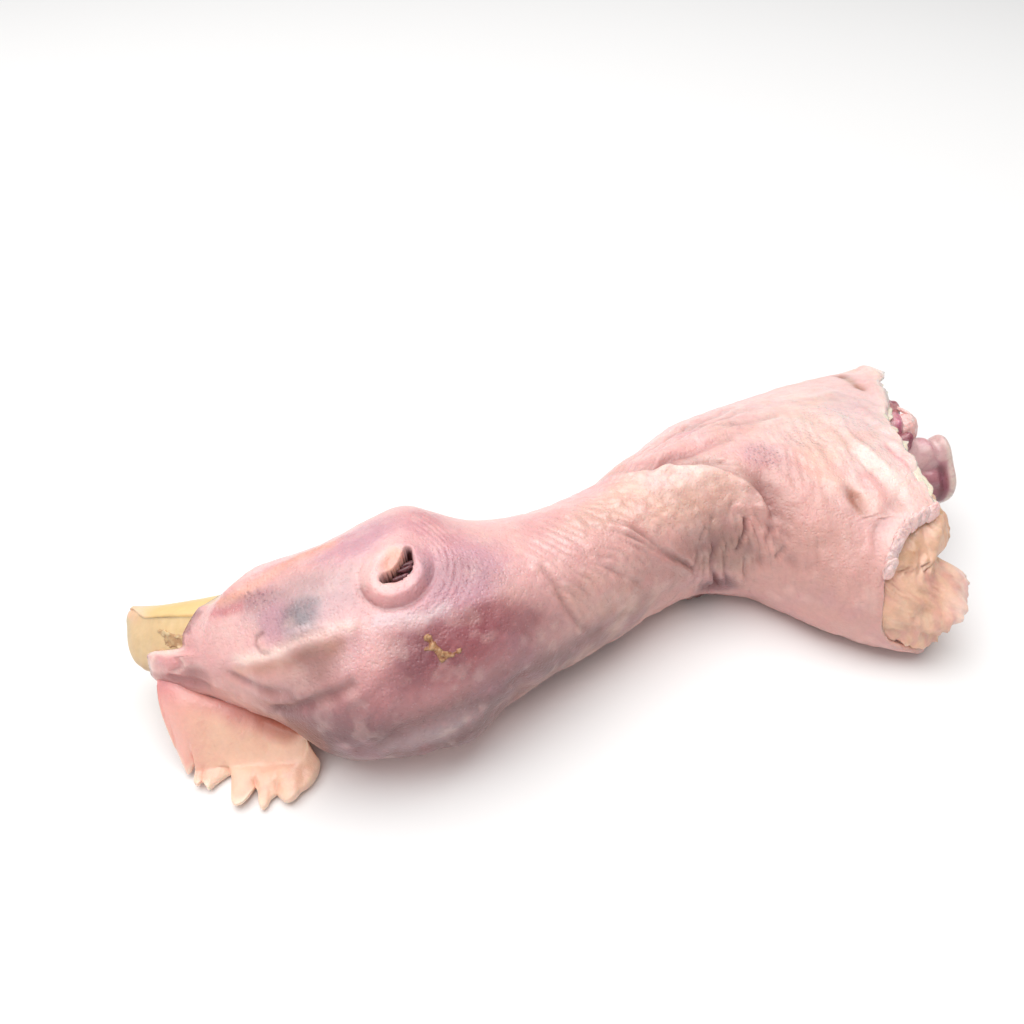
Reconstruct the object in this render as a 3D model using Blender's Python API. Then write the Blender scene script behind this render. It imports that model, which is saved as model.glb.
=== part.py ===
"""Raw chicken head with its plucked neck, lying on its left cheek.

The body is a closed loft along a curved centreline. Distance s runs along that line from the tip of the
beak to the cut end. The angle around it starts at the throat, passes the upper cheek at 90 degrees and the
crown at 180. Lengths are in millimetres until a mesh is made, and angles are in degrees.
"""

import math

import bmesh
import bpy
import numpy as np
from mathutils import Matrix

MM = 0.001
GAP = 0.3  # clearance between pieces that touch
ORIGIN = (6.7, -23.8)  # middle of the footprint, in the coordinates of the stations

# Stations of the body: s, centre x, y and z, half-sizes towards throat, crown, upper cheek and table, roll.
BODY = np.array([
    [-4.0, -87.3, -30.3, 17.3, 1.0, 3.0, 3.0, 3.0, 24],
    [8.0, -75.9, -34.0, 17.8, 3.4, 12.0, 6.8, 6.8, 24],
    [16.0, -68.3, -36.5, 18.0, 5.2, 13.8, 9.4, 9.4, 24],
    [26.0, -58.8, -39.6, 18.3, 10.2, 16.0, 13.8, 13.5, 24],
    [36.0, -49.2, -42.7, 18.5, 14.4, 19.6, 17.0, 16.5, 24],
    [46.0, -39.7, -45.4, 18.8, 19.8, 24.5, 18.8, 19.0, 22],
    [56.0, -29.9, -46.9, 18.8, 23.2, 22.8, 19.0, 20.0, 18],
    [66.0, -19.9, -46.7, 18.3, 20.6, 19.0, 18.3, 19.5, 14],
    [76.0, -9.9, -44.4, 17.3, 16.8, 16.0, 17.2, 18.5, 10],
    [88.0, 1.6, -40.7, 16.5, 15.3, 14.6, 16.3, 17.6, 6],
    [102.0, 14.7, -35.3, 16.2, 15.0, 13.4, 16.2, 17.3, 3],
    [116.0, 27.8, -30.4, 16.3, 19.5, 14.0, 16.6, 17.4, 0],
    [130.0, 41.4, -27.6, 16.3, 29.0, 19.5, 16.8, 17.8, 0],
    [146.0, 57.2, -26.6, 16.0, 38.0, 34.0, 16.0, 17.3, 0],
    [162.0, 73.2, -26.4, 15.5, 45.0, 40.5, 15.6, 16.8, 0],
    [192.0, 103.2, -26.4, 15.0, 50.5, 42.0, 14.2, 16.5, 0],
])
FLARE_SAG = 8.0  # how far the loose skin sinks at both sides of the flare
FLARE_FROM, FLARE_TO = 108.0, 158.0
TABLE_SOFTNESS = 1.4  # how far the flesh rounds in to where it lies flat
PRESSED = 0.08  # what is lower than this lies flat on the table

# Where the skin ends: at the beak and at the cut, as angle and s.
BEAK_EDGE = np.array([
    [0, 22], [60, 22], [84, 20.5], [94, 16], [103, 14.5], [117, 16], [128, 13], [137, 9.5], [160, 8],
    [185, 7.5], [215, 10], [245, 15], [275, 17], [310, 21], [360, 22],
], float)
CUT_EDGE = np.array([
    [0, 178], [30, 178], [40, 182], [50, 177], [75, 173], [97, 169], [112, 165], [124, 158], [140, 155],
    [170, 154], [200, 156], [240, 162], [290, 170], [330, 176], [360, 178],
], float)

# Beak: s, half-sizes towards throat and crown, half-width.
BEAK = np.array([
    [-1.0, 1.1, 1.2, 0.7],
    [0.0, 1.3, 3.9, 1.9],
    [1.0, 1.5, 6.3, 2.5],
    [2.5, 1.8, 8.6, 3.3],
    [4.5, 2.2, 10.2, 4.2],
    [8.0, 2.8, 11.1, 5.6],
    [14.0, 3.8, 11.3, 7.2],
    [23.0, 5.8, 10.6, 8.2],
])
BEAK_BASE = 22.4
GAPE = 0.9  # height of the mouth line above the centreline, towards the throat
LOWER_TIP = 1.4
LIP = 0.8  # thickness of the skin where it ends on the beak

EYE = (38.0, 102.0)
EAR = (54.5, 84.0)
EAR_RING, EAR_LIP = 4.9, 1.9
EAR_HOLE = (2.3, 3.1, 6.0)

CORE_END = 90.0  # where the meat of the neck starts, behind the skull
CORE_STATIONS = np.array([90, 94, 100, 107, 114, 121, 128, 135], float)
CORE_WIDE, CORE_HIGH = 13.4, 11.8
CORE_CENTRE = 14.6
CORE_COVER = 3.6  # least flesh and skin between the meat and the sides of the neck
SKIN_WALL, FAR_WALL = 2.3, 5.4  # skin alone, and with the tissue that lines its far side
RIM_ROUNDING = 0.9  # how far the middle of the cut skin stands out past its two faces
HOLLOW, FAR_HOLLOW = 15.0, 9.0  # how far back from the cut the skin stands off the meat

# Comb, from front to back: s where a line across it leaves the crown, and x and y of that line's outer end.
COMB_EDGE = np.array([
    [9.2, -80.4, -41.5],
    [9.6, -80.3, -45.0],
    [10.2, -79.4, -49.4],
    [11.0, -78.1, -52.8],
    [11.8, -76.8, -51.6],
    [13.6, -75.4, -58.2],
    [14.8, -74.4, -56.2],
    [16.6, -73.5, -62.0],
    [18.6, -71.0, -62.7],
    [21.4, -67.5, -59.8],
    [24.2, -66.9, -67.4],
    [25.6, -64.9, -67.6],
    [27.2, -63.3, -63.9],
    [28.8, -62.1, -68.8],
    [30.6, -59.4, -66.0],
    [32.4, -57.6, -68.9],
    [34.4, -54.9, -67.2],
    [36.6, -51.8, -64.6],
    [38.4, -50.8, -61.9],
    [39.6, -51.8, -59.6],
])
COMB_AROUND = 12
COMB_ROOT_ANGLE = 198
COMB_ROOT_THICK, COMB_EDGE_THICK = 4.0, 1.7
COMB_DROOP = 9.0  # how far from the crown the comb comes down to the table
COMB_LIES_AT = 1.1
COMB_ROOT_GAP = 0.7

# Meat at the cut: angle and s of its end. It runs past the skin at the far side.
MEAT_EDGE = np.array([
    [0, 176], [40, 181], [62, 183], [85, 177], [130, 171], [200, 170], [280, 173], [360, 176],
], float)
MEAT_LUMP = (179.0, 62.0)
MEAT_AROUND = 28

# Vertebra: s and half-sizes along the section, and its middle from the centreline.
BONE = np.array([
    [162.0, 7.2, 7.6], [170.0, 7.2, 7.8], [175.0, 6.6, 7.6], [179.5, 5.9, 6.9], [183.5, 6.8, 7.9],
    [186.0, 7.0, 8.2], [188.0, 6.4, 7.6],
])
BONE_CENTRE = (1.6, 0.4)
BONE_KNOB = (180.5, 98.0, 2.0)  # s, angle and height
BONE_START, BONE_END, BONE_AROUND = 163.0, 187.0, 22

# Fat at the near side of the cut: angle, and how far it stands out past the skin.
FAT_EDGE = np.array([
    [100, 1], [112, 4], [122, 9], [131, 14], [142, 12], [150, 15], [160, 19], [170, 17], [185, 14], [205, 10],
    [222, 5], [240, 1],
], float)
FAT_INSIDE = 11.0
FAT_MARGIN = 0.5
FAT_AROUND = 30

SKIN_AROUND, DENSER = 54, 0.32
HEAD_STEP, NECK_STEP = 1.9, 3.1
MM_PER_DEGREE = 0.32


def smooth(t):
    """Eased step from 0 to 1."""
    t = np.clip(t, 0, 1)
    return t * t * (3 - 2 * t)


def cubic(table, s):
    """All columns of a table at distances s, by a smooth cubic through its rows."""
    at, rows = table[:, 0], table[:, 1:]
    slope = np.gradient(rows, at, axis=0)
    s = np.clip(np.asarray(s, float), at[0], at[-1])
    i = np.clip(np.searchsorted(at, s, side="right") - 1, 0, len(at) - 2)
    span = (at[i + 1] - at[i])[..., None]
    t = (s - at[i])[..., None] / span
    return (
        rows[i] * (1 + 2 * t) * (1 - t) ** 2
        + slope[i] * span * t * (1 - t) ** 2
        + rows[i + 1] * t * t * (3 - 2 * t)
        + slope[i + 1] * span * t * t * (t - 1)
    )


def frame_at(s):
    """Station values at s, and the directions towards the throat and the upper cheek there."""
    here = cubic(BODY, s)
    ahead = cubic(BODY, np.asarray(s) + 0.5)[..., :2] - cubic(BODY, np.asarray(s) - 0.5)[..., :2]
    ahead /= np.linalg.norm(ahead, axis=-1, keepdims=True)
    roll = np.radians(here[..., 7:8])
    level = np.concatenate([-ahead[..., 1:2], ahead[..., :1], np.zeros_like(roll)], axis=-1)
    up = np.array([0.0, 0.0, 1.0])
    throat = level * np.cos(roll) + up * np.sin(roll)
    cheek = up * np.cos(roll) - level * np.sin(roll)
    return here, throat, cheek


def in_section(s, towards_throat, towards_cheek):
    """Points given by their distance from the centreline in the section at s."""
    here, throat, cheek = frame_at(s)
    return here[..., :3] + throat * towards_throat[..., None] + cheek * towards_cheek[..., None]


def settle(points):
    """Presses points onto the table, flat where they would sink into it."""
    z, m = points[..., 2], TABLE_SOFTNESS
    pressed = np.where(z < -m, 0.0, np.where(z > m, z, (z + m) ** 2 / (4 * m)))
    return np.concatenate([points[..., :2], np.maximum(pressed - PRESSED, 0)[..., None]], axis=-1)


def bump(s, angle, place, radius, height):
    """A round swelling, or a dent where the height is negative."""
    d = np.hypot(s - place[0], (angle - place[1]) * MM_PER_DEGREE)
    return height * np.exp(-((d / radius) ** 2))


def ring(s, angle, place, radius, half_width, height):
    """A raised ring."""
    d = np.hypot(s - place[0], (angle - place[1]) * MM_PER_DEGREE)
    return height * np.exp(-(((d - radius) / half_width) ** 2))


def to_line(s, angle, route):
    """Distance to a route of (s, angle) points, and the side of it: positive towards greater s."""
    best = np.full(np.shape(s), 1e9)
    side = np.ones(np.shape(s))
    for (s0, a0), (s1, a1) in zip(route, route[1:]):
        px, py = s - s0, (angle - a0) * MM_PER_DEGREE
        dx, dy = s1 - s0, (a1 - a0) * MM_PER_DEGREE
        t = np.clip((px * dx + py * dy) / (dx * dx + dy * dy), 0, 1)
        d = np.hypot(px - t * dx, py - t * dy)
        nearer = d < best
        best = np.where(nearer, d, best)
        side = np.where(nearer, np.sign(px * dy - py * dx), side)
    return best, side


def ridge(s, angle, route, half_width, height):
    """A raised line along a route, or a crease where the height is negative."""
    return height * np.exp(-((to_line(s, angle, route)[0] / half_width) ** 2))


def fold(s, angle, route, rise, drop, reach):
    """Skin that rolls over along a route: swollen before it, and sunk just behind it."""
    d, side = to_line(s, angle, route)
    near = np.exp(-((d / reach) ** 2))
    over = smooth(d / 3.2)
    return np.where(side < 0, rise * near, (rise * (1 - over) - drop * over) * near)


def head_relief(s, angle):
    """Eye, ear, lid and cheek folds, the same on both sides of the head."""
    angle = np.where(angle > 190, 360 - angle, angle)
    return (
        bump(s, angle, EYE, 5.2, 1.7)
        + bump(s, angle, (36, 82), 6.0, -0.9)
        + ridge(s, angle, [(27, 126), (33, 121), (38, 115), (43, 109), (48, 106)], 1.8, 1.5)
        + ridge(s, angle, [(31, 133), (37, 127), (44, 117)], 2.6, -1.1)
        + ridge(s, angle, [(24, 139), (29, 146), (37, 143), (42, 134)], 1.5, -1.2)
        + ridge(s, angle, [(33, 158), (38, 147), (43, 137), (49, 126)], 1.6, -1.3)
        + ridge(s, angle, [(34, 152), (41, 138)], 1.8, 0.7)
        + ring(s, angle, EAR, EAR_RING, EAR_LIP, 1.7)
        + ring(s, angle, (EAR[0] + 0.6, EAR[1] + 4), EAR_RING + 4.2, 1.8, -0.7)
        + bump(s, angle, (57, 55), 8.0, 1.2)
        + ridge(s, angle, [(22, 78), (27, 66), (37, 52)], 2.2, 0.6)
        + bump(s, angle, (13, 146), 4.2, 1.1)
        + bump(s, angle, (19, 149), 3.0, -1.2)
        + bump(s, angle, (59, 126), 2.2, 0.7)
    )


def neck_relief(s, angle):
    """Creases of the neck, the fold where it widens, and the dimple near the cut."""
    return (
        ridge(s, angle, [(77, 108), (80, 132), (83, 162)], 1.4, -0.8)
        + ridge(s, angle, [(99, 92), (103, 122), (110, 162)], 1.4, -0.9)
        + ridge(s, angle, [(94, 100), (98, 128), (103, 150)], 1.3, -0.7)
        + fold(s, angle, [(106, 30), (109, 57), (114, 80), (120, 92), (126, 108), (129, 126)], 1.4, 2.4, 6.0)
        + ridge(s, angle, [(114, 66), (124, 72), (138, 72)], 2.0, -1.3)
        + ridge(s, angle, [(116, 163), (118, 183), (120, 206)], 1.8, -2.0)
        + ridge(s, angle, [(123, 142), (124, 168)], 1.4, -1.0)
        + ridge(s, angle, [(128, 150), (130, 172)], 1.4, -0.8)
        + ridge(s, angle, [(140, 78), (152, 84), (165, 80)], 2.4, 0.9)
        + ridge(s, angle, [(136, 96), (148, 100), (160, 99)], 2.4, 0.8)
        + bump(s, angle, (149, 119), 3.0, -1.6)
    )


def body_surface(s, angle, relief=True):
    """Points of the outer skin."""
    here = cubic(BODY, s)
    turn = np.radians(angle)
    wide = np.where(np.cos(turn) > 0, here[..., 3], here[..., 4]) * np.cos(turn)
    high = np.where(np.sin(turn) > 0, here[..., 5], here[..., 6]) * np.sin(turn)
    if relief:
        raised = 1 + (head_relief(s, angle) + neck_relief(s, angle)) / np.hypot(wide, high)
        wide, high = wide * raised, high * raised
    points = in_section(s, wide, high)
    points[..., 2] -= FLARE_SAG * smooth((s - FLARE_FROM) / (FLARE_TO - FLARE_FROM)) * np.cos(turn) ** 2
    return settle(points)


def beak_section(s, angle, out=0.0):
    """Points of the whole beak's surface, moved out by a distance."""
    here = cubic(BEAK, s) + out
    turn = np.radians(angle)
    crown = np.maximum(-np.cos(turn), 0)
    wide = np.where(np.cos(turn) > 0, here[..., 0], here[..., 1]) * np.cos(turn)
    high = here[..., 2] * np.sin(turn) * (1 - 0.2 * crown**2)
    return in_section(s, wide, high)


def core_surface(s, angle, out=0.0):
    """Points of the meat inside the neck, moved out by a distance."""
    turn = np.radians(angle)
    narrow = 1 - 0.35 * smooth((CORE_END + 12 - s) / 12)
    here, throat, cheek = frame_at(s)
    centre = here[..., :3].copy()
    centre[..., 2] = CORE_CENTRE + 1.4 * smooth((CORE_END + 40 - s) / 40)
    half = np.minimum(CORE_WIDE, np.where(np.cos(turn) > 0, here[..., 3], here[..., 4]) - CORE_COVER)
    wide = (half * narrow + out) * np.cos(turn)
    high = (CORE_HIGH * narrow + out) * np.sin(turn)
    return centre + throat * wide[..., None] + cheek * high[..., None]


def hollow_at(angle):
    """Depth of the hollow behind the cut at an angle."""
    return FAR_HOLLOW + (HOLLOW - FAR_HOLLOW) * smooth(0.5 - np.cos(np.radians(angle)))


def skin_inside(s, angle, end):
    """Points of the sleeve's inner wall: on the meat, then standing off it towards the cut."""
    deep = hollow_at(angle)
    loose = smooth((s - end + deep) / deep)[..., None]
    outer = body_surface(s, angle, relief=False)
    inward = core_surface(s, angle) - outer
    length = np.linalg.norm(inward, axis=-1, keepdims=True)
    lined = smooth((end - s) / 5 + 0.2)[..., None] * np.maximum(np.cos(np.radians(angle)), 0)[..., None]
    wall = SKIN_WALL + (FAR_WALL - SKIN_WALL) * lined
    stand_off = outer + inward * np.minimum(wall / length, 0.8)
    return core_surface(s, angle, GAP) * (1 - loose) + stand_off * loose


def edge_at(table, angle):
    """s of the skin's edge at an angle."""
    return cubic(table, np.mod(angle, 360))[..., 0]


def stations_between(first, last):
    """Rows of the outer skin, closer together on the head."""
    head = np.arange(first, 84, HEAD_STEP)
    return np.concatenate([head, np.arange(head[-1] + NECK_STEP, last, NECK_STEP), [last]])


def skin_rows(angles, stations):
    """Rings of the skin: the beak's socket, then the outside, then the inside of the sleeve."""
    front, cut = edge_at(BEAK_EDGE, angles), edge_at(CUT_EDGE, angles)
    bottom = BEAK_BASE + GAP
    rows = [beak_section(bottom + (front - bottom) * f, angles, GAP) for f in (0, 0.5, 1)]
    rows.append(beak_section(front - 0.35, angles, GAP + LIP / 2))
    for nominal in stations:
        at_front = 1 - smooth((nominal - stations[0]) / 34)
        t = np.clip((nominal - 118) / (stations[-1] - 118), 0, 1)
        at_cut = t * t * (2 - t)
        s = nominal + (front + 0.6 - stations[0]) * at_front + (cut - stations[-1]) * at_cut
        lip = beak_section(s, angles, GAP + LIP)
        rise = smooth((s - front) / 7)[..., None]
        rows.append(lip * (1 - rise) + body_surface(s, angles) * rise)
    outer, inner = body_surface(cut, angles, relief=False), skin_inside(cut, angles, cut)
    rows.append(outer * 0.5 + inner * 0.5 + np.array([RIM_ROUNDING, 0, 0]))
    deep = hollow_at(angles)
    for back in (0, 0.15, 0.3, 0.45, 0.6, 0.75, 0.9):
        rows.append(skin_inside(cut - deep * back, angles, cut))
    for s in CORE_STATIONS[::-1]:
        rows.append(core_surface(np.full_like(angles, s), angles, GAP))
    rows[-1] = core_surface(np.full_like(angles, CORE_END - GAP), angles, GAP)
    return np.array(rows)


def closed_loft(name, rings, colour, roughness):
    """A closed mesh object through rings of points, drawn over a sphere whose poles become the ends."""
    count, around = rings.shape[:2]
    bm = bmesh.new()
    bmesh.ops.create_uvsphere(bm, u_segments=around, v_segments=count + 1, radius=1)
    for vert in bm.verts:
        x, y, z = vert.co
        row = round(math.acos(max(-1, min(1, z))) / math.pi * (count + 1)) - 1
        if row < 0 or row == count:
            place = rings[max(0, min(row, count - 1))].mean(axis=0)
        else:
            place = rings[row, round(math.atan2(y, x) / math.tau * around) % around]
        vert.co = ((place[0] - ORIGIN[0]) * MM, (place[1] - ORIGIN[1]) * MM, place[2] * MM)
    if bm.calc_volume(signed=True) < 0:
        bmesh.ops.reverse_faces(bm, faces=bm.faces)
    return add_object(name, bm, colour, roughness)


def add_object(name, bm, colour, roughness):
    """Links a mesh as a named object with its own material."""
    mesh = bpy.data.meshes.new(name)
    bm.to_mesh(mesh)
    bm.free()
    mesh.shade_smooth()
    obj = bpy.data.objects.new(name, mesh)
    material = bpy.data.materials.new(name)
    material.use_nodes = True
    shader = material.node_tree.nodes["Principled BSDF"]
    shader.inputs["Base Color"].default_value = (*colour, 1)
    shader.inputs["Roughness"].default_value = roughness
    mesh.materials.append(material)
    bpy.data.collections["raw_chicken_head"].objects.link(obj)
    return obj


def build_skin():
    """The plucked skin with the head's flesh, open at the beak's socket and at the cut neck."""
    even = np.arange(SKIN_AROUND) * 360 / SKIN_AROUND
    angles = even - np.degrees(DENSER * np.sin(np.radians(even - 100)))
    angles = angles - angles[0]
    return closed_loft("skin", skin_rows(angles, stations_between(10.0, 170.0)), (0.83, 0.58, 0.54), 0.4)


def build_beak():
    """Upper and lower mandible, parted at the mouth line and seated in the skin's socket."""
    around = 18
    turn = np.radians(np.arange(around) * 360 / around)
    upper, lower = [], []
    for s in (-0.9, -0.4, 0.3, 1.2, 2.4, 4.0, 6.0, 9.0, 13.0, 17.0, BEAK_BASE):
        throat, crown, half = cubic(BEAK, s)
        ridge_side = np.maximum(-np.cos(turn), 0)
        wide = np.minimum(np.where(np.cos(turn) > 0, throat, crown) * np.cos(turn), GAPE - GAP / 2)
        upper.append(in_section(np.full(around, s), wide, half * np.sin(turn) * (1 - 0.2 * ridge_side**2)))
    for s in (LOWER_TIP, LOWER_TIP + 0.5, 3.0, 5.0, 8.0, 12.0, 17.0, BEAK_BASE):
        throat, _, half = cubic(BEAK, s)
        tip = smooth((s - LOWER_TIP + 1.2) / 4)
        base = GAPE + GAP / 2
        wide = base + (throat - base) * np.maximum(np.cos(turn), 0)
        inset = np.sqrt(1 - (GAPE / throat) ** 2) * 0.97
        lower.append(in_section(np.full(around, s), wide, half * inset * tip * np.sin(turn)))
    closed_loft("beak_upper", np.array(upper), (0.80, 0.68, 0.42), 0.45)
    closed_loft("beak_lower", np.array(lower), (0.88, 0.70, 0.30), 0.4)


def comb_rows():
    """Rings across the comb, from its front edge to the free lobe behind."""
    marks = np.arange(len(COMB_EDGE), dtype=float)
    table = np.column_stack([marks, COMB_EDGE])
    fine = np.linspace(0, marks[-1], 2 * (len(marks) - 1) + 1)
    place = cubic(table, fine)
    s, edge = place[:, 0], place[:, 1:]
    root = body_surface(s, np.full(len(s), COMB_ROOT_ANGLE), relief=False)
    turn = np.radians(np.arange(COMB_AROUND) * 360 / COMB_AROUND)
    along = (0.5 - 0.5 * np.cos(turn))[None, :]
    out = edge - root[:, :2]
    length = np.linalg.norm(out, axis=1, keepdims=True)
    out = out / length
    reach = COMB_ROOT_GAP + (length - COMB_ROOT_GAP) * along
    droop = np.minimum(COMB_DROOP, 0.9 * length)
    high = (root[:, 2:3] - COMB_LIES_AT) * (1 - smooth(reach / droop))
    slope = (root[:, 2:3] - COMB_LIES_AT) * 6 * (reach / droop) * (1 - np.minimum(reach / droop, 1)) / droop
    slope = np.maximum(slope, 0)
    thick = COMB_EDGE_THICK + (COMB_ROOT_THICK - COMB_EDGE_THICK) * (1 - smooth(reach / 14))
    side = np.sign(np.sin(turn)) * np.abs(np.sin(turn)) ** np.where(np.cos(turn) > 0, 0.35, 0.6)
    offset = thick / 2 * side[None, :]
    steep = np.hypot(1, slope)
    level = reach + offset * slope / steep
    rings = np.empty((len(s), len(turn), 3))
    rings[..., :2] = root[:, None, :2] + out[:, None, :] * level[..., None]
    rings[..., 2] = COMB_LIES_AT + high + offset / steep
    return settle(rings)


def build_comb():
    """The serrated comb, drooping from the crown and lying on the table."""
    return closed_loft("comb", comb_rows(), (0.90, 0.55, 0.40), 0.4)


def bone_section(s, angle, out=0.0):
    """Points of the neck bone, moved out by a distance."""
    here = cubic(BONE, s) + out
    turn = np.radians(angle)
    knob = BONE_KNOB[2] * np.exp(-(((s - BONE_KNOB[0]) / 2.4) ** 2) - ((angle - BONE_KNOB[1]) / 26.0) ** 2)
    lobes = 1 + 0.07 * np.cos(4 * turn + 0.6)
    wide = BONE_CENTRE[0] + (here[..., 0] + knob) * np.cos(turn) * lobes
    high = BONE_CENTRE[1] + (here[..., 1] + knob) * np.sin(turn) * lobes
    return in_section(s, wide, high)


def build_bone():
    """The stump of the neck bone that stands out of the meat."""
    angles = np.arange(BONE_AROUND) * 360 / BONE_AROUND
    stations = np.linspace(BONE_START, BONE_END - 1.2, 11)
    rows = [bone_section(np.full_like(angles, s), angles) for s in stations]
    for s, inwards in ((BONE_END - 0.4, 0.93), (BONE_END, 0.78)):
        rim = bone_section(np.full_like(angles, s), angles)
        rows.append(rim.mean(axis=0) + (rim - rim.mean(axis=0)) * inwards)
    return closed_loft("vertebra", np.array(rows), (0.72, 0.53, 0.55), 0.35)


def meat_rows(angles):
    """Rings of the meat from behind the skull to its cut end, and back into the seat of the bone."""
    end = edge_at(MEAT_EDGE, angles)
    rows = [core_surface(np.full_like(angles, s), angles) for s in (*CORE_STATIONS, 143, 150)]
    for f, inwards in ((0.3, 0), (0.55, 0), (0.75, 0.03), (0.88, 0.12), (0.96, 0.3), (1.0, 0.6)):
        s = 150 + (end - 150) * f
        lump = bump(s, angles, MEAT_LUMP, 6.0, 2.6) + bump(s, angles, (170, 250), 6.0, 0.8)
        outer = core_surface(s, angles, lump)
        seat_here = bone_section(s, angles, GAP)
        rows.append(outer * (1 - inwards) + seat_here * inwards)
    rows.append(bone_section(end - 0.6, angles, GAP + 0.1))
    for s in (168.0, BONE_START - GAP):
        rows.append(bone_section(np.full_like(angles, s), angles, GAP))
    return np.array(rows)


def build_meat():
    """The dark meat that runs through the neck and ends in lumps at the cut."""
    rings = meat_rows(np.arange(MEAT_AROUND) * 360 / MEAT_AROUND)
    return closed_loft("neck_meat", rings, (0.62, 0.30, 0.38), 0.35)


def fat_rows():
    """Rings of the fat between meat and skin at the near side, each one a thick crescent."""
    turn = np.radians(np.arange(FAT_AROUND) * 360 / FAT_AROUND)
    angle = 170 - 62 * np.cos(turn)
    part = 0.5 + 0.5 * np.sign(np.sin(turn)) * np.abs(np.sin(turn)) ** 0.7
    cut = edge_at(CUT_EDGE, angle)
    past = cubic(FAT_EDGE, angle)[..., 0]
    rows = []
    for f in (0, 0.1, 0.2, 0.3, 0.4, 0.5, 0.6, 0.7, 0.79, 0.87, 0.93, 0.98, 1):
        s = cut - FAT_INSIDE + (FAT_INSIDE + past * (0.3 + 0.7 * part)) * f
        inner = core_surface(s, angle)
        inside_skin = skin_inside(np.minimum(s, cut), angle, cut)
        free = body_surface(s, angle, relief=False)
        out = smooth((s - cut - 1.6) / 5)[..., None]
        outer = inside_skin * (1 - out) + free * out
        width = 1.0 if f < 0.5 else math.sqrt(max(1 - ((f - 0.5) / 0.52) ** 2, 0))
        width *= 0.75 if f == 0 else 1.0
        across = outer - inner
        margin = np.minimum(FAT_MARGIN / np.linalg.norm(across, axis=-1), 0.4)
        share = margin + (1 - 2 * margin) * (0.5 + (part - 0.5) * width)
        rows.append(inner + across * share[..., None])
    return np.array(rows)


def build_fat():
    """The lumpy fat that shows where the near side of the skin is cut."""
    return closed_loft("fat_pad", settle(fat_rows()), (0.90, 0.74, 0.58), 0.45)


def pierce_ear(skin):
    """Cuts the ear's opening into the middle of its ring."""
    centre = body_surface(np.array(EAR[0]), np.array(EAR[1]), relief=False)
    across, along, deep = EAR_HOLE
    bm = bmesh.new()
    bmesh.ops.create_uvsphere(bm, u_segments=14, v_segments=9, radius=1)
    bmesh.ops.scale(bm, verts=bm.verts, vec=(along * MM, across * MM, deep * MM))
    bmesh.ops.rotate(bm, verts=bm.verts, cent=(0, 0, 0), matrix=Matrix.Rotation(math.radians(40), 3, "Z"))
    bmesh.ops.translate(
        bm, verts=bm.verts, vec=((centre[0] - ORIGIN[0]) * MM, (centre[1] - ORIGIN[1]) * MM, centre[2] * MM)
    )
    mesh = bpy.data.meshes.new("ear_cutter")
    bm.to_mesh(mesh)
    bm.free()
    cutter = bpy.data.objects.new("ear_cutter", mesh)
    cutter.hide_render = True
    cutter.display_type = "WIRE"
    bpy.data.collections["cutters"].objects.link(cutter)
    cut = skin.modifiers.new("ear opening", "BOOLEAN")
    cut.operation = "DIFFERENCE"
    cut.solver = "EXACT"
    cut.object = cutter


def main():
    for obj in list(bpy.data.objects):
        bpy.data.objects.remove(obj)
    for name in ("raw_chicken_head", "cutters"):
        collection = bpy.data.collections.new(name)
        bpy.context.scene.collection.children.link(collection)
    skin = build_skin()
    pierce_ear(skin)
    build_beak()
    build_comb()
    build_meat()
    build_bone()
    build_fat()


if __name__ == "__main__":
    main()
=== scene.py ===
"""Raw chicken head with its plucked neck, lying on its left cheek.

Everything is laid on one form. A point of the skin is given by its distance s behind the tip of the beak, along the
centreline, and by its angle around it: 0 at the throat, 90 on the upper cheek, 180 on the crown and 270 on the table.
Lengths are in millimetres until a mesh is made, and angles are in degrees.
"""

import logging
import math
from collections.abc import Callable, Sequence
from dataclasses import dataclass, field
from enum import Enum

import bmesh
import bpy
import numpy as np
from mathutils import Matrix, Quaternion, Vector


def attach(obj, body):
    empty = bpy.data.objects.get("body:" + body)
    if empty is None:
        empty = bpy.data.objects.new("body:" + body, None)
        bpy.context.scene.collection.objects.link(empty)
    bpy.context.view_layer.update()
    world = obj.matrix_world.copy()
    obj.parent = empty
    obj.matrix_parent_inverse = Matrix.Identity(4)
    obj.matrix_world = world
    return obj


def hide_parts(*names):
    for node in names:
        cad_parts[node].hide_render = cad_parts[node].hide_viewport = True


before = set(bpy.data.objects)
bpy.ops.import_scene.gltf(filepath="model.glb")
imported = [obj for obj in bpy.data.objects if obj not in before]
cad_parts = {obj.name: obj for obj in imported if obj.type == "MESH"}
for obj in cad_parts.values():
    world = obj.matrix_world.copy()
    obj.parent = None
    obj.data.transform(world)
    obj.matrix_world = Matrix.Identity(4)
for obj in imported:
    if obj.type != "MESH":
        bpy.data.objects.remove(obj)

log = logging.getLogger("raw_chicken_head")

MM = 0.001
ORIGIN = np.array([6.7, -23.8, 0.0])  # middle of the footprint, in the coordinates of the stations
MM_PER_DEGREE = 0.32
UNDERSIDE = 215.0  # angle from which the table side repeats the upper side, in degrees
BODY = "root"

Array = np.ndarray
Place = tuple[float, float]
Triple = tuple[float, float, float]
Mesh, Piece, Material = bpy.types.Mesh, bpy.types.Object, bpy.types.Material


def smooth(t: Array | float, start: float = 0.0, run: float = 1.0) -> Array:
    """Eased step from 0 at start to 1 a run further on, or further back where the run is negative."""
    t = np.clip((t - start) / run, 0.0, 1.0)
    return t * t * (3 - 2 * t)


def bell(*off: Array | float) -> Array:
    """Bell curve over one or more offsets, 1 where all of them are 0."""
    return np.exp(-sum(x**2 for x in off))


def apart(s: Array, angle: Array, at: float, bearing: float) -> Array:
    """Distance over the skin from the place at s = at and angle = bearing, in millimetres."""
    return np.hypot(s - at, (angle - bearing) * MM_PER_DEGREE)


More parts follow.
